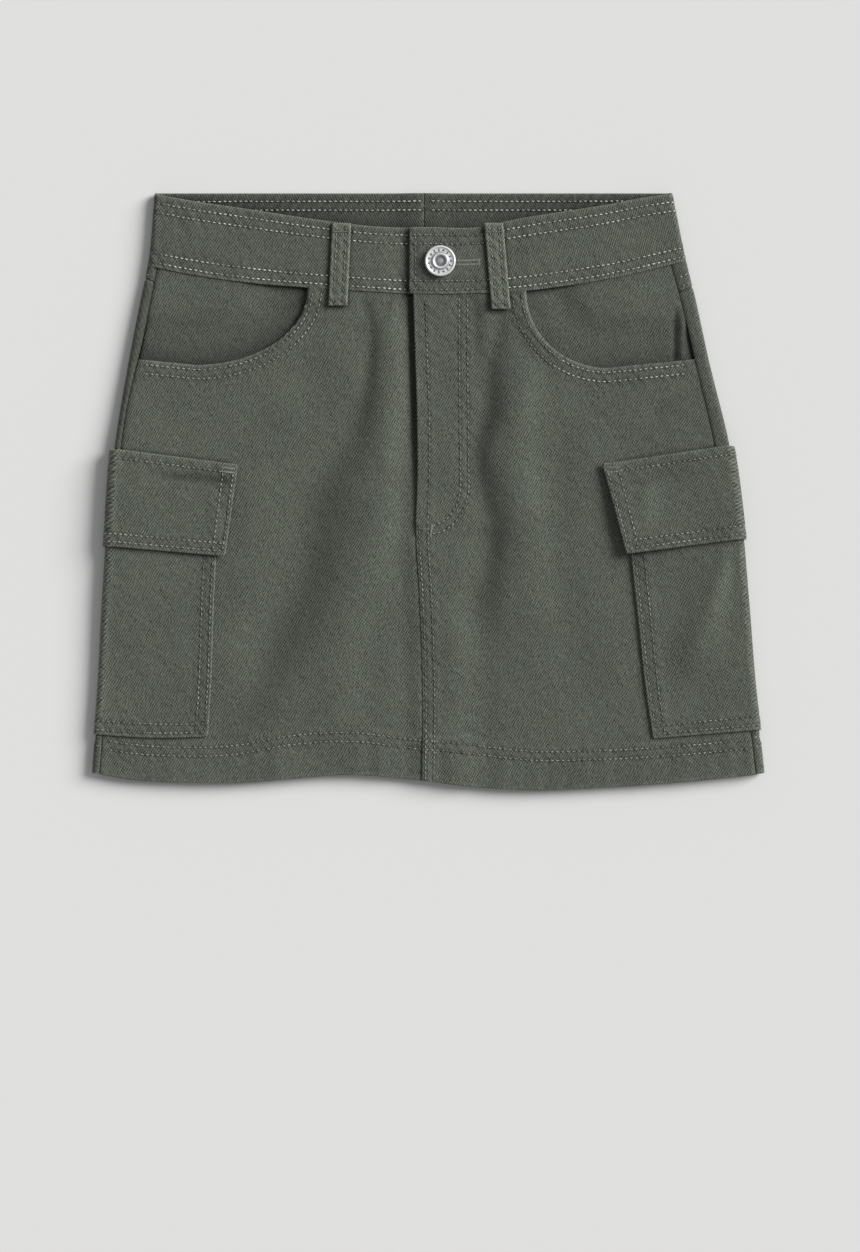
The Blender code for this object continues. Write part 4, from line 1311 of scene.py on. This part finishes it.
def back_yoke():
    def band_edge(a):
        side, girth = back_girth(a, 126.0 + 0 * a)
        fold = band_fold_bottom(side)
        at_seam = band_bottom(either(side, seam_x, fold))
        back = mix(fold, BACK_BAND_BOTTOM, step(0, 70, -girth))
        return mix(back, at_seam, step(0, 6, girth))

    def y_of(a, b):
        return mix(yoke_seam(a), band_edge(a) + TUCK, b / YOKE_ROWS)

    def place(a, b, level):
        y = y_of(a, b)
        side, girth = back_girth(a, y)
        x = either(side, outline, y) - side * np.abs(girth)
        low = CLOTH + loop_rise(x, y) + 0 * girth
        deep = mix(0.95, 0.4, step(3, 8, girth))
        tuck = deep * step(-0.2, 1.3, y - band_edge(a))
        return back_ring(side, girth, y, low, level - tuck, CLOTH)

    def outer(a, b):
        return CLOTH - 0.4 * bell(seam_distance(a), 1.1)

    a, b = np.meshgrid(back_lines(), np.concatenate([[0, 0.4, 1.0], np.linspace(2, YOKE_ROWS, 22)]))
    scale = (band_edge(a) + TUCK - yoke_seam(a)) / YOKE_ROWS
    edge = np.minimum(seam_distance(a), b * scale)
    along = np.arange(-STRIP + 2, BACK_LENGTH + STRIP - 2, 2.5)
    tall = band_edge(along) + TUCK - yoke_seam(along)
    rows = [
        np.stack([along, rise * YOKE_ROWS / tall], 1)[tall > rise + 6] for rise in (1.9, 1.9 + GAUGE)
    ]
    cloth = Cloth("back_yoke", place, outer, 0.2, rows, lambda a, b: back_weave(a, b, y_of))
    cloth.tone, cloth.bright = strip_tone, 0.6
    return cloth.build(a, b, edge, TWILL)


# ---- patch pockets and flaps
PATCH_CREASES = [
    [(163.0, -34.0, 5.0, -0.6), (156.0, -58.0, 6.5, -1.4), (146.0, -86.0, 9.0, -0.5)],
    [(137.0, -60.0, 7.0, 0.2), (133.0, -100.0, 8.0, 0.4)],
    [(-146.0, 8.0, 2.2, 0.4), (-128.0, 6.5, 2.6, 0.8), (-112.0, 6.0, 2.2, 0.5)],
    [(-118.0, -2.0, 3.0, -0.4), (-117.0, -22.0, 3.0, -0.5)],
    [(-150.0, -70.0, 8.0, 0.4), (-142.0, -110.0, 10.0, 0.5)],
    [(120.0, 4.0, 5.0, -0.5), (118.0, -14.0, 5.0, -0.6)],
]


def wrapped_lines(side, front, back, fold, front_spacing, back_spacing):
    """Grid lines from a piece's back end round a side fold to its front end, as a."""
    on_back = -back + lines(back - fold, back_spacing, last=False)
    on_front = front - lines(front - fold, front_spacing, last=False)[::-1]
    girth = np.concatenate([on_back, np.arange(-fold + 0.6, fold, 0.6), on_front])
    return girth if side == LEFT else -girth[::-1]


def patch(name, side, size, flare, lift, base, thick, rows, droop=0.0, pad=0.3):
    """Cloth wrapped round a side fold; a runs towards +X on the front."""
    def girth_of(a):
        return -side * a

    def place(a, b, level):
        girth = girth_of(a)
        height = (b - size.bottom) / (size.top - size.bottom)
        front = np.clip(girth / size.front, 0, 1)
        wide = girth + flare * height * front
        y = b - row_drop(side, b, np.abs(wide))
        y = y - droop * np.sin(math.pi * front) * (1 - step(0, 0.16, height))
        low = back_height(b, np.clip(-girth, 0, None))
        x = outline(side, y) - side * np.maximum(np.abs(wide), 3.5)
        side_high = side_height(y)
        high = np.where(girth > -8, front_height(x, y), side_high)
        points = ring(side, wide, y, low, high, base + level, CLOTH)
        raised = lift * step(0.35, 1, girth / size.front) * step(1.0, 0.35, height)
        for crease in PATCH_CREASES:
            raised = raised - crease_depth(x, y, crease) * step(3, 12, girth)
        points[..., 2] += raised
        return points

    def edge_of(a, b):
        girth = girth_of(a)
        return np.minimum(np.minimum(size.front - girth, girth + size.back), b - size.bottom)

    def outer(a, b):
        near = edge_of(a, b)
        padded = pad * (1 - step(8.4, 9.8, near)) + 0.12 * bell(near - 0.9, 0.9)
        return thick + padded * step(0, 6, girth_of(a))

    def weave(a, b):
        girth = girth_of(a)
        return side * (np.abs(outline(side, b)) - girth), b + 0.0 * a

    a = wrapped_lines(side, size.front, size.back, 8, 1.3, 1.6)
    a, b = np.meshgrid(a, size.bottom + lines(size.top - size.bottom, 1.3))
    edge = np.minimum(edge_of(a, b), size.top - b)
    girth = girth_of(a)
    near_end = np.minimum(size.front - girth, girth + size.back)
    near_row = np.minimum(b - size.bottom, size.top - b)
    move_a, move_b = round_corners(near_end, near_row, 1.5)
    inward = np.where(size.front - girth < girth + size.back, 1, -1) * side
    a = a + inward * move_a
    b = b + np.where(b - size.bottom < size.top - b, 1, -1) * move_b
    cloth = Cloth(name, place, outer, 0.1, rows, weave)
    return cloth, a, b, edge


def fold_tone(side, cloth, a, b):
    """Painted tone of a patch: painted light on the fold that the light misses, and painted shade and light
    on its creases.
    """
    spots = cloth.place(a, b, 0.0)
    creases = fold_shade(spots[..., 0], spots[..., 1], PATCH_CREASES, SMALL_FOLD_SHADE)
    painted_light_on_fold = (0.45 if side == LEFT else 0.0) * bell(-side * a - 0.6, 3.6)
    return painted_light_on_fold + creases * step(3, 12, -side * a)


def patch_row(side, start, end):
    """A row of stitches between two (girth, latitude) points."""
    ends = np.array([start, end], float)
    ends[:, 0] *= -side
    return resample(ends, 4.0)


def patch_rows(side, size, heights, insets, top):
    """Level rows across a patch, then rows up to `top` inside each of its two ends."""
    low = size.bottom + 3
    rows = [patch_row(side, (-size.back + 2, at), (size.front - 2, at)) for at in heights]
    for inset in insets:
        rows.append(patch_row(side, (size.front - inset, low), (size.front - inset, top)))
        rows.append(patch_row(side, (-size.back + inset, low), (-size.back + inset, top)))
    return rows


def cargo_pocket(side):
    size = POCKETS[side]
    heights = (size.bottom + 2.7, size.bottom + 7.4)
    rows = patch_rows(side, size, heights, (2.0, 6.8), size.top)
    name = "cargo_pocket_" + SIDE_NAME[side]
    droop = 1.3 if side == LEFT else 0.0
    cloth, a, b, edge = patch(
        name, side, size, POCKET_FLARE[side], 0, POCKET_LEVEL, CLOTH, rows, droop,
    )
    # Painted shade under the flap and along the pocket's front edge.
    cloth.tone = lambda a, b: (
        fold_tone(side, cloth, a, b) - 0.30 * bell(b - FLAPS[side].bottom + 0.5, 1.6)
        - 0.10 * bell(-side * a - size.front + 4.4, 2.4), 0.0,
    )
    cloth.bright = 0.34
    return cloth.build(a, b, edge, TWILL)


def cargo_flap(side):
    size = FLAPS[side]
    heights = (size.bottom + 2.8, size.bottom + 7.2, size.top - 4.9)
    rows = patch_rows(side, size, heights, (1.8, 7.2), size.top - 5)
    name = "cargo_flap_" + SIDE_NAME[side]
    cloth, a, b, edge = patch(
        name, side, size, FLAP_FLARE[side], FLAP_LIFT[side], FLAP_LEVEL, FLAP_CLOTH, rows,
    )
    cloth.bright = lambda a, b: np.where(b < size.bottom + 9, 0.50, 0.40)
    # Painted shade in a band 10.5 mm below the flap's top edge.
    cloth.tone = lambda a, b: (
        fold_tone(side, cloth, a, b) - 0.16 * bell(b - size.top + 10.5, 2.6) * step(10, 34, -side * a), 0.0,
    )
    for height in (2.6, 4.9):
        first = (-side * (size.front - 1.2), size.top - height)
        second = (-side * (size.front - 8.4), size.top - height)
        bartack(cloth, first, second, 1.7, 0.5)
    return cloth.build(a, b, edge, TWILL, half=0.6)


# ---- waistband
BAND_WIDTH = 36.5              # nominal, from its lower to its upper edge
LOWER_ROWS = (2.4, 7.1)
UPPER_ROWS = (27.4, 32.1)
BAND_FRONT = {LEFT: 179.0, RIGHT: 149.0}
BAND_BACK = {LEFT: 149.0, RIGHT: 140.0}
BAND_END = {LEFT: BAND_UNDERLAP_END, RIGHT: TAB_END}


def waistband(side):
    """One half, from the centre front round a side fold to the centre back."""
    front_length, back_length = BAND_FRONT[side], BAND_BACK[side]

    def girth_of(a, y):
        """a is 0 at the fold and runs towards +X on the front."""
        nominal = -side * a
        edge = outline(side, y)
        front = nominal / front_length * np.abs(edge - BAND_END[side])
        back = nominal / back_length * np.abs(edge - CENTRE_BACK)
        return np.where(nominal > 0, front, back)

    def y_of(a, b):
        girth = girth_of(a, 145.0)
        x = outline(side, 145.0) - side * np.abs(girth)
        fold = FOLD_BAND_BOTTOM[side]
        low = np.where(girth > 0, band_bottom(x), mix(fold, BACK_BAND_BOTTOM, step(0, 70, -girth)))
        high = np.where(girth > 0, band_top(x), BACK_BAND_TOP)
        return mix(low, high, b / BAND_WIDTH)

    def place(a, b, level):
        y = y_of(a, b)
        girth = girth_of(a, y)
        x = outline(side, y) - side * np.maximum(np.abs(girth), 4)
        height = left_band_height if side == LEFT else right_band_height
        high = np.where(girth > -10, height(x, y), side_height(y))
        low = BAND_CLOTH + loop_rise(x, y)
        return ring(side, girth, y, low, high, level, BAND_CLOTH)

    def outer(a, b):
        front = step(0, 6, -side * a)
        puff = 0.10 + 0.22 * bell(b - 1.0, 1.6) + 0.12 * bell(b - BAND_WIDTH + 1.0, 1.6)
        puff = puff + 0.10 * bell(b - 5.0, 2.2) + 0.10 * bell(b - BAND_WIDTH + 6.8, 2.2)
        rows = 0.5 + bell(b - 5.0, 5.0) + bell(b - BAND_WIDTH + 6.8, 5.0)
        puff = puff + 0.5 * rows * wave_height(a, 0.12 * b, PUCKERS)
        return BAND_CLOTH + front * puff + 0.0 * a

    def inner(a, b):
        front = step(0, 6, -side * a)
        low_edge = mix(1.05, 1.5, front)
        return mix(low_edge, 0.15, step(3.2, 9, b)) + 0.0 * a

    def weave(a, b):
        return a + 0.0 * b, b + 0.0 * a

    a = wrapped_lines(side, front_length, back_length, 9, 1.35, 2.2)
    a, b = np.meshgrid(a, lines(BAND_WIDTH, 1.2))
    nominal = -side * a
    near_end = np.minimum(front_length - nominal, nominal + back_length)
    edge = np.minimum(near_end, np.minimum(b, BAND_WIDTH - b))
    move_a, move_b = round_corners(front_length - nominal, np.minimum(b, BAND_WIDTH - b), 1.8)
    a = a + side * move_a
    b = b + np.where(b < BAND_WIDTH / 2, 1, -1) * move_b
    first, last = sorted((-side * (front_length - 1.5), side * (back_length - 0.5)))
    if side == LEFT:           # no rows where the other half lies over this one
        last = front_length - (BAND_UNDERLAP_END - TAB_END) + 2
    along = np.arange(first, last, 2.5)
    rows = level_rows(along, LOWER_ROWS + UPPER_ROWS)
    cloth = Cloth("waistband_" + SIDE_NAME[side], place, outer, inner, rows, weave)

    def tone(a, b):
        """Painted shade by the loops and the tab, and inside the back."""
        y = y_of(a, b)
        girth = girth_of(a, y)
        x = outline(side, y) - side * np.abs(girth)
        front = step(0, 6, -side * a)
        outside = -beside_loops(x, y) * front
        if side == LEFT:
            outside = outside - 0.5 * bell(x - TAB_END + 1.2, 2.6) * front
        # Painted shade inside the back, darkest just above the front's top edge.
        deep = np.exp(-np.clip(y - band_top(x), 0, None) / 3.5)
        inside = (-0.12 - 0.38 * deep) * step(-2, -10, -side * a)
        return outside, inside

    def bright(a, b):
        girth = girth_of(a, 140.0)
        x = outline(side, 140.0) - side * np.abs(girth)
        shown = mix(0.95, 0.25, step(-138, -148, x))
        shown = np.where((x > -14) & (x < 31), 0.30, shown)
        return np.where(-side * a > 0, shown, 0.6)

    cloth.tone, cloth.bright = tone, bright
    if side == RIGHT:
        tab_x = -front_length + 3.3
        cloth.rows.append(np.array([(tab_x, 4.0), (tab_x, 32.0)]))
        buttonhole(cloth, front_length)
    return cloth.build(a, b, edge, TWILL, half=0.85)


def inside_rows(cloth, side):
    """The waistband's stitching as it shows inside the centre back."""
    flipped = Cloth(
        cloth.name + "_inside", lambda a, b, level: cloth.place(a, b, cloth.inner(a, b) - level),
        CHANNEL, None,
    )
    start, end = side * 4.0, side * (BAND_BACK[side] - 1.0)
    along = np.arange(min(start, end), max(start, end), 2.5)
    flipped.rows = level_rows(along, UPPER_ROWS)
    flipped.bright = 0.85
    return flipped


def buttonhole(cloth, front_length):
    """Dense stitches on both sides of a slit, with a bar at its end."""
    start = -front_length + (BUTTON[0] + 7.5 - TAB_END)
    end = -front_length + (27.0 - TAB_END)
    middle = (BUTTON[1] - 107.9) / 36.7 * BAND_WIDTH - 0.4
    for sign in (-1, 1):
        for at in np.arange(start, end, 0.5):
            lean = rng.normal(0, 0.08)
            cloth.tacks.append((
                np.array([at, middle + sign * 0.25]), np.array([at + lean, middle + sign * 2.0]), 0.23,
            ))
    for height in np.arange(-1.8, 1.9, 0.5):
        cloth.tacks.append((
            np.array([end - 0.9, middle + height]), np.array([end + 0.8, middle + height]), 0.24,
        ))


# ---- belt loops
LOOP_LENGTH = 45.3
LOOP_ARCH = 0.4                # flatter than in the CAD


def surface_under_loop(x, y):
    """Outer face of what a front belt loop lies on."""
    left = x < 0
    band = np.where(left, left_band_height(x, y), right_band_height(x, y)) + BAND_CLOTH
    panel = front_height(x, y) + np.where(left, 0, lap(x, y)) + CLOTH
    return np.maximum(band, panel)


def belt_loop(name, spot, place, outer, tack_ends, tack_width, half, **looks):
    """A loop from its place in space, with two rows of stitches and a bartack at each end."""
    a, b = np.meshgrid(
        -LOOP_WIDTH / 2 + lines(LOOP_WIDTH, 0.8), lines(LOOP_LENGTH, 0.75),
    )
    edge = np.minimum(LOOP_WIDTH / 2 - np.abs(a), np.minimum(b, LOOP_LENGTH - b))
    along = np.arange(1.2, LOOP_LENGTH - 0.6, 2.0)
    rows = [np.stack([0 * along + across, along], 1) for across in (-2.5, 2.5)]
    cloth = Cloth(name, place, outer, 0.05, rows, spot)
    for key, look in looks.items():
        setattr(cloth, key, look)
    for height, width in zip(tack_ends, tack_width):
        bartack(cloth, (-4.2, height), (4.2, height), width)
    return cloth.build(a, b, edge, TWILL, half=half)


def front_loop(side):
    loop = FRONT_LOOPS[side]

    def spot(a, b):
        share = b / LOOP_LENGTH
        x = mix(loop.bottom_x, loop.top_x, share) + a
        return x, mix(loop.bottom_y, loop.top_y, share)

    def place(a, b, level):
        x, y = spot(a, b)
        share = np.clip(b / LOOP_LENGTH, 0, 1)
        under = np.maximum(surface_under_loop(x, y - 3), surface_under_loop(x, y + 3))
        z = under + SEAM_GAP + 0.2 + LOOP_ARCH * np.sqrt(np.sin(math.pi * share)) + level
        return points_at(x, y, z - 1.3 * step(LOOP_LENGTH - 1.6, LOOP_LENGTH, b))

    def outer(a, b):
        folded = 0.8 * (1 - step(5.4, 6.4, b)) + 0.55 * step(LOOP_LENGTH - 5.4, LOOP_LENGTH - 4.6, b)
        crown = 0.22 * bell(np.abs(a) - 4.0, 1.0) + 0.1 * bell(a, 1.2)
        return LOOP_CLOTH + folded + crown

    # Lighter all over and towards the edges, with a line of painted shade at the fold near the lower end.
    def tone(a, b):
        return 0.22 + 0.10 * bell(np.abs(a) - 4.2, 1.0) - 0.12 * bell(b - 5.9, 0.7), 0.0

    return belt_loop(
        "belt_loop_front_" + SIDE_NAME[side], spot, place, outer, (3.2, LOOP_LENGTH - 5.0), (1.5, 1.4),
        0.6, tone=tone, bright=0.30,
    )


def back_loop():
    """Flat under the centre back, which rests on it."""
    def spot(a, b):
        return CENTRE_BACK - a + 0 * b, mix(BACK_LOOP.bottom_y, BACK_LOOP.top_y, b / LOOP_LENGTH)

    def place(a, b, level):
        x, y = spot(a, b)
        return points_at(x, y, LOOP_CLOTH - level)

    return belt_loop(
        "belt_loop_back", spot, place, LOOP_CLOTH, (2.5, LOOP_LENGTH - 2.5), (1.5, 1.5), 0.5,
    )


# ---- button
BUTTON_PROFILE = [
    (0.0, 2.25), (0.7, 2.24), (1.3, 2.12), (1.9, 1.96), (2.5, 1.92), (2.95, 2.0), (3.2, 2.35),
    (3.38, 2.75), (3.62, 2.98), (3.95, 3.02), (4.2, 2.92), (4.4, 2.6), (4.6, 2.28), (4.9, 2.12),
    (5.4, 2.06), (6.6, 2.06), (7.0, 2.12), (7.22, 2.3), (7.42, 2.58), (7.7, 2.70), (8.0, 2.62),
    (8.28, 2.35), (8.45, 1.9), (8.5, 1.4), (8.42, 0.9), (8.15, 0.45), (7.7, 0.12), (7.0, 0.05),
    (2.7, 0.05), (2.6, -0.1), (2.6, -3.0),
]
BUTTON_SEGMENTS = 96


TICKS = 15
TICK_RISE = 0.28
TICK_RECESS = 0.85


def recess_shade_at(radius):
    """How much painted shade the metal has at a distance from the button's middle, with a painted shadow on
    the rim.
    """
    return max(
        float(1 - step(2.9, 3.25, radius)) * float(0.55 + 0.3 * step(0.4, 2.2, radius)),
        0.75 * float(bell(radius - 4.65, 0.4)),
        0.15 * float(bell(radius - 7.1, 0.3)),
        float(step(8.3, 8.6, radius)),
    )


def button_ticks(height, first):
    """Raised bars round the button, every third one short and wide; faces count from `first`."""
    points, faces = [], []
    for i in range(TICKS):
        middle = 2 * math.pi * i / TICKS
        start, end = (5.1, 6.95) if i % 3 else (5.5, 6.6)
        half = 0.42 if i % 3 else 0.75
        out = np.array([math.cos(middle), math.sin(middle), 0])
        across = np.array([-out[1], out[0], 0])
        section = (
            (start, half, 0.0), (start + 0.15, half * 0.6, TICK_RISE),
            (end - 0.15, half * 0.6, TICK_RISE), (end, half, 0.0),
        )
        for side in (-1, 1):
            for radius, spread, rise in section:
                points.append(out * radius + across * spread * side + [0, 0, height + rise])
        low = first + i * 8
        faces += [(low + j, low + j + 1, low + 5 + j, low + 4 + j) for j in range(3)]
        faces += [(low, low + 4, low + 7, low + 3), (low, low + 3, low + 2, low + 1)]
        faces.append((low + 4, low + 5, low + 6, low + 7))
    return np.array(points), np.array(faces)


def waist_button():
    """A turned shank button with a ring, a rim and a plain stamped border of ticks."""
    cap = float(right_band_height(*BUTTON)) + BAND_CLOTH + SEAM_GAP + 0.1
    foot = float(left_band_height(*BUTTON)) + BAND_CLOTH + SEAM_GAP
    turn = np.arange(BUTTON_SEGMENTS) / BUTTON_SEGMENTS * 2 * math.pi
    profile = np.array(BUTTON_PROFILE)
    heights = np.where(profile[:, 1] < -1, foot, cap + profile[:, 1])
    points, recess_shade = [], []
    for (radius, _), z in zip(profile, heights):
        points.append(np.stack([radius * np.cos(turn), radius * np.sin(turn), 0 * turn + z], 1))
        recess_shade.append(np.full(BUTTON_SEGMENTS, recess_shade_at(radius)))
    faces = []
    for row in range(len(profile) - 1):
        for k in range(BUTTON_SEGMENTS):
            nxt = (k + 1) % BUTTON_SEGMENTS
            low, high = row * BUTTON_SEGMENTS, (row + 1) * BUTTON_SEGMENTS
            faces.append((low + k, high + k, high + nxt, low + nxt))
    foot_ring = (len(profile) - 1) * BUTTON_SEGMENTS
    foot_faces = [
        (foot_ring, foot_ring + k + 1, foot_ring + k) for k in range(1, BUTTON_SEGMENTS - 1)
    ]
    bars, bar_faces = button_ticks(cap + 2.0, len(profile) * BUTTON_SEGMENTS)
    points = np.concatenate(points + [bars])
    points[:, :2] += BUTTON
    made = make_object(
        "waist_button_turned", points, [np.array(faces), bar_faces, np.array(foot_faces)],
        {"recess_shade": np.concatenate(recess_shade + [np.full(len(bars), TICK_RECESS)])}, metal_finish(),
    )
    return made


# ---- the skirt
paired = (front_panel, pocket_facing, cargo_pocket, cargo_flap, waistband, front_loop)
made_cloths = [maker(side) for side in (LEFT, RIGHT) for maker in paired]
made_cloths += [maker() for maker in (back_panel, back_yoke, back_loop)]
cloths = {cloth.name: cloth for cloth in made_cloths}

floor_mesh = bpy.data.meshes.new("floor")
FLOOR_HALF = 3.0
FLOOR_Z = -0.0006              # just under the stitches of the underside
floor_mesh.from_pydata(
    [(x * FLOOR_HALF, y * FLOOR_HALF, FLOOR_Z) for x, y in ((-1, -1), (1, -1), (1, 1), (-1, 1))],
    [], [(0, 1, 2, 3)],
)
floor = bpy.data.objects.new("floor", floor_mesh)
bpy.context.scene.collection.objects.link(floor)

for name, cloth in cloths.items():
    cloth.made.name = name + "_cloth"
    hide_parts(name)
    add_stitches(cloth, THREAD)
    if name.startswith("waistband"):
        add_stitches(inside_rows(cloth, RIGHT if name.endswith("right") else LEFT), THREAD)

button = waist_button()
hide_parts("waist_button")
zip_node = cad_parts["fly_zip"]
tape = tape_finish()
for material_slot in zip_node.material_slots:
    material_slot.material = tape

# ---- camera and light
VIEW_LENGTH = 684.044          # millimetres of floor along the frame's long side
CAMERA_HEIGHT = 1.8
CAMERA_AT = (0.0009, -0.0734, CAMERA_HEIGHT + 0.005)
SENSOR = 36.0

camera_data = bpy.data.cameras.new("camera")
camera_data.sensor_width = SENSOR
camera_data.lens = SENSOR * CAMERA_HEIGHT / (VIEW_LENGTH * MM)
camera = bpy.data.objects.new("camera", camera_data)
camera.location = CAMERA_AT
bpy.context.scene.collection.objects.link(camera)
bpy.context.scene.camera = camera


def key_light(name, azimuth, elevation, power, spread, colour):
    """A far soft light; azimuth is counted in degrees from +X towards +Y."""
    data = bpy.data.lights.new(name, "SUN")
    data.energy = power
    data.angle = math.radians(spread)
    data.color = colour
    light = bpy.data.objects.new(name, data)
    light.rotation_euler = (0, math.radians(90 - elevation), math.radians(azimuth))
    bpy.context.scene.collection.objects.link(light)


key_light("key", 25, 30, 3.96, 34, (1.0, 0.995, 0.985))

world = bpy.data.worlds.new("studio")
world.use_nodes = True
background = world.node_tree.nodes["Background"]
background.inputs["Color"].default_value = (1.0, 1.0, 1.0, 1)
background.inputs["Strength"].default_value = 0.30
bpy.context.scene.world = world
bpy.context.scene.view_settings.view_transform = "Standard"

floor_finish = Finish("floor")
floor_finish.shader.inputs["Base Color"].default_value = (0.80, 0.80, 0.80, 1)
floor_finish.shader.inputs["Roughness"].default_value = 0.95
floor_finish.shader.inputs["Specular IOR Level"].default_value = 0.1
floor_mesh.materials.append(floor_finish.material)
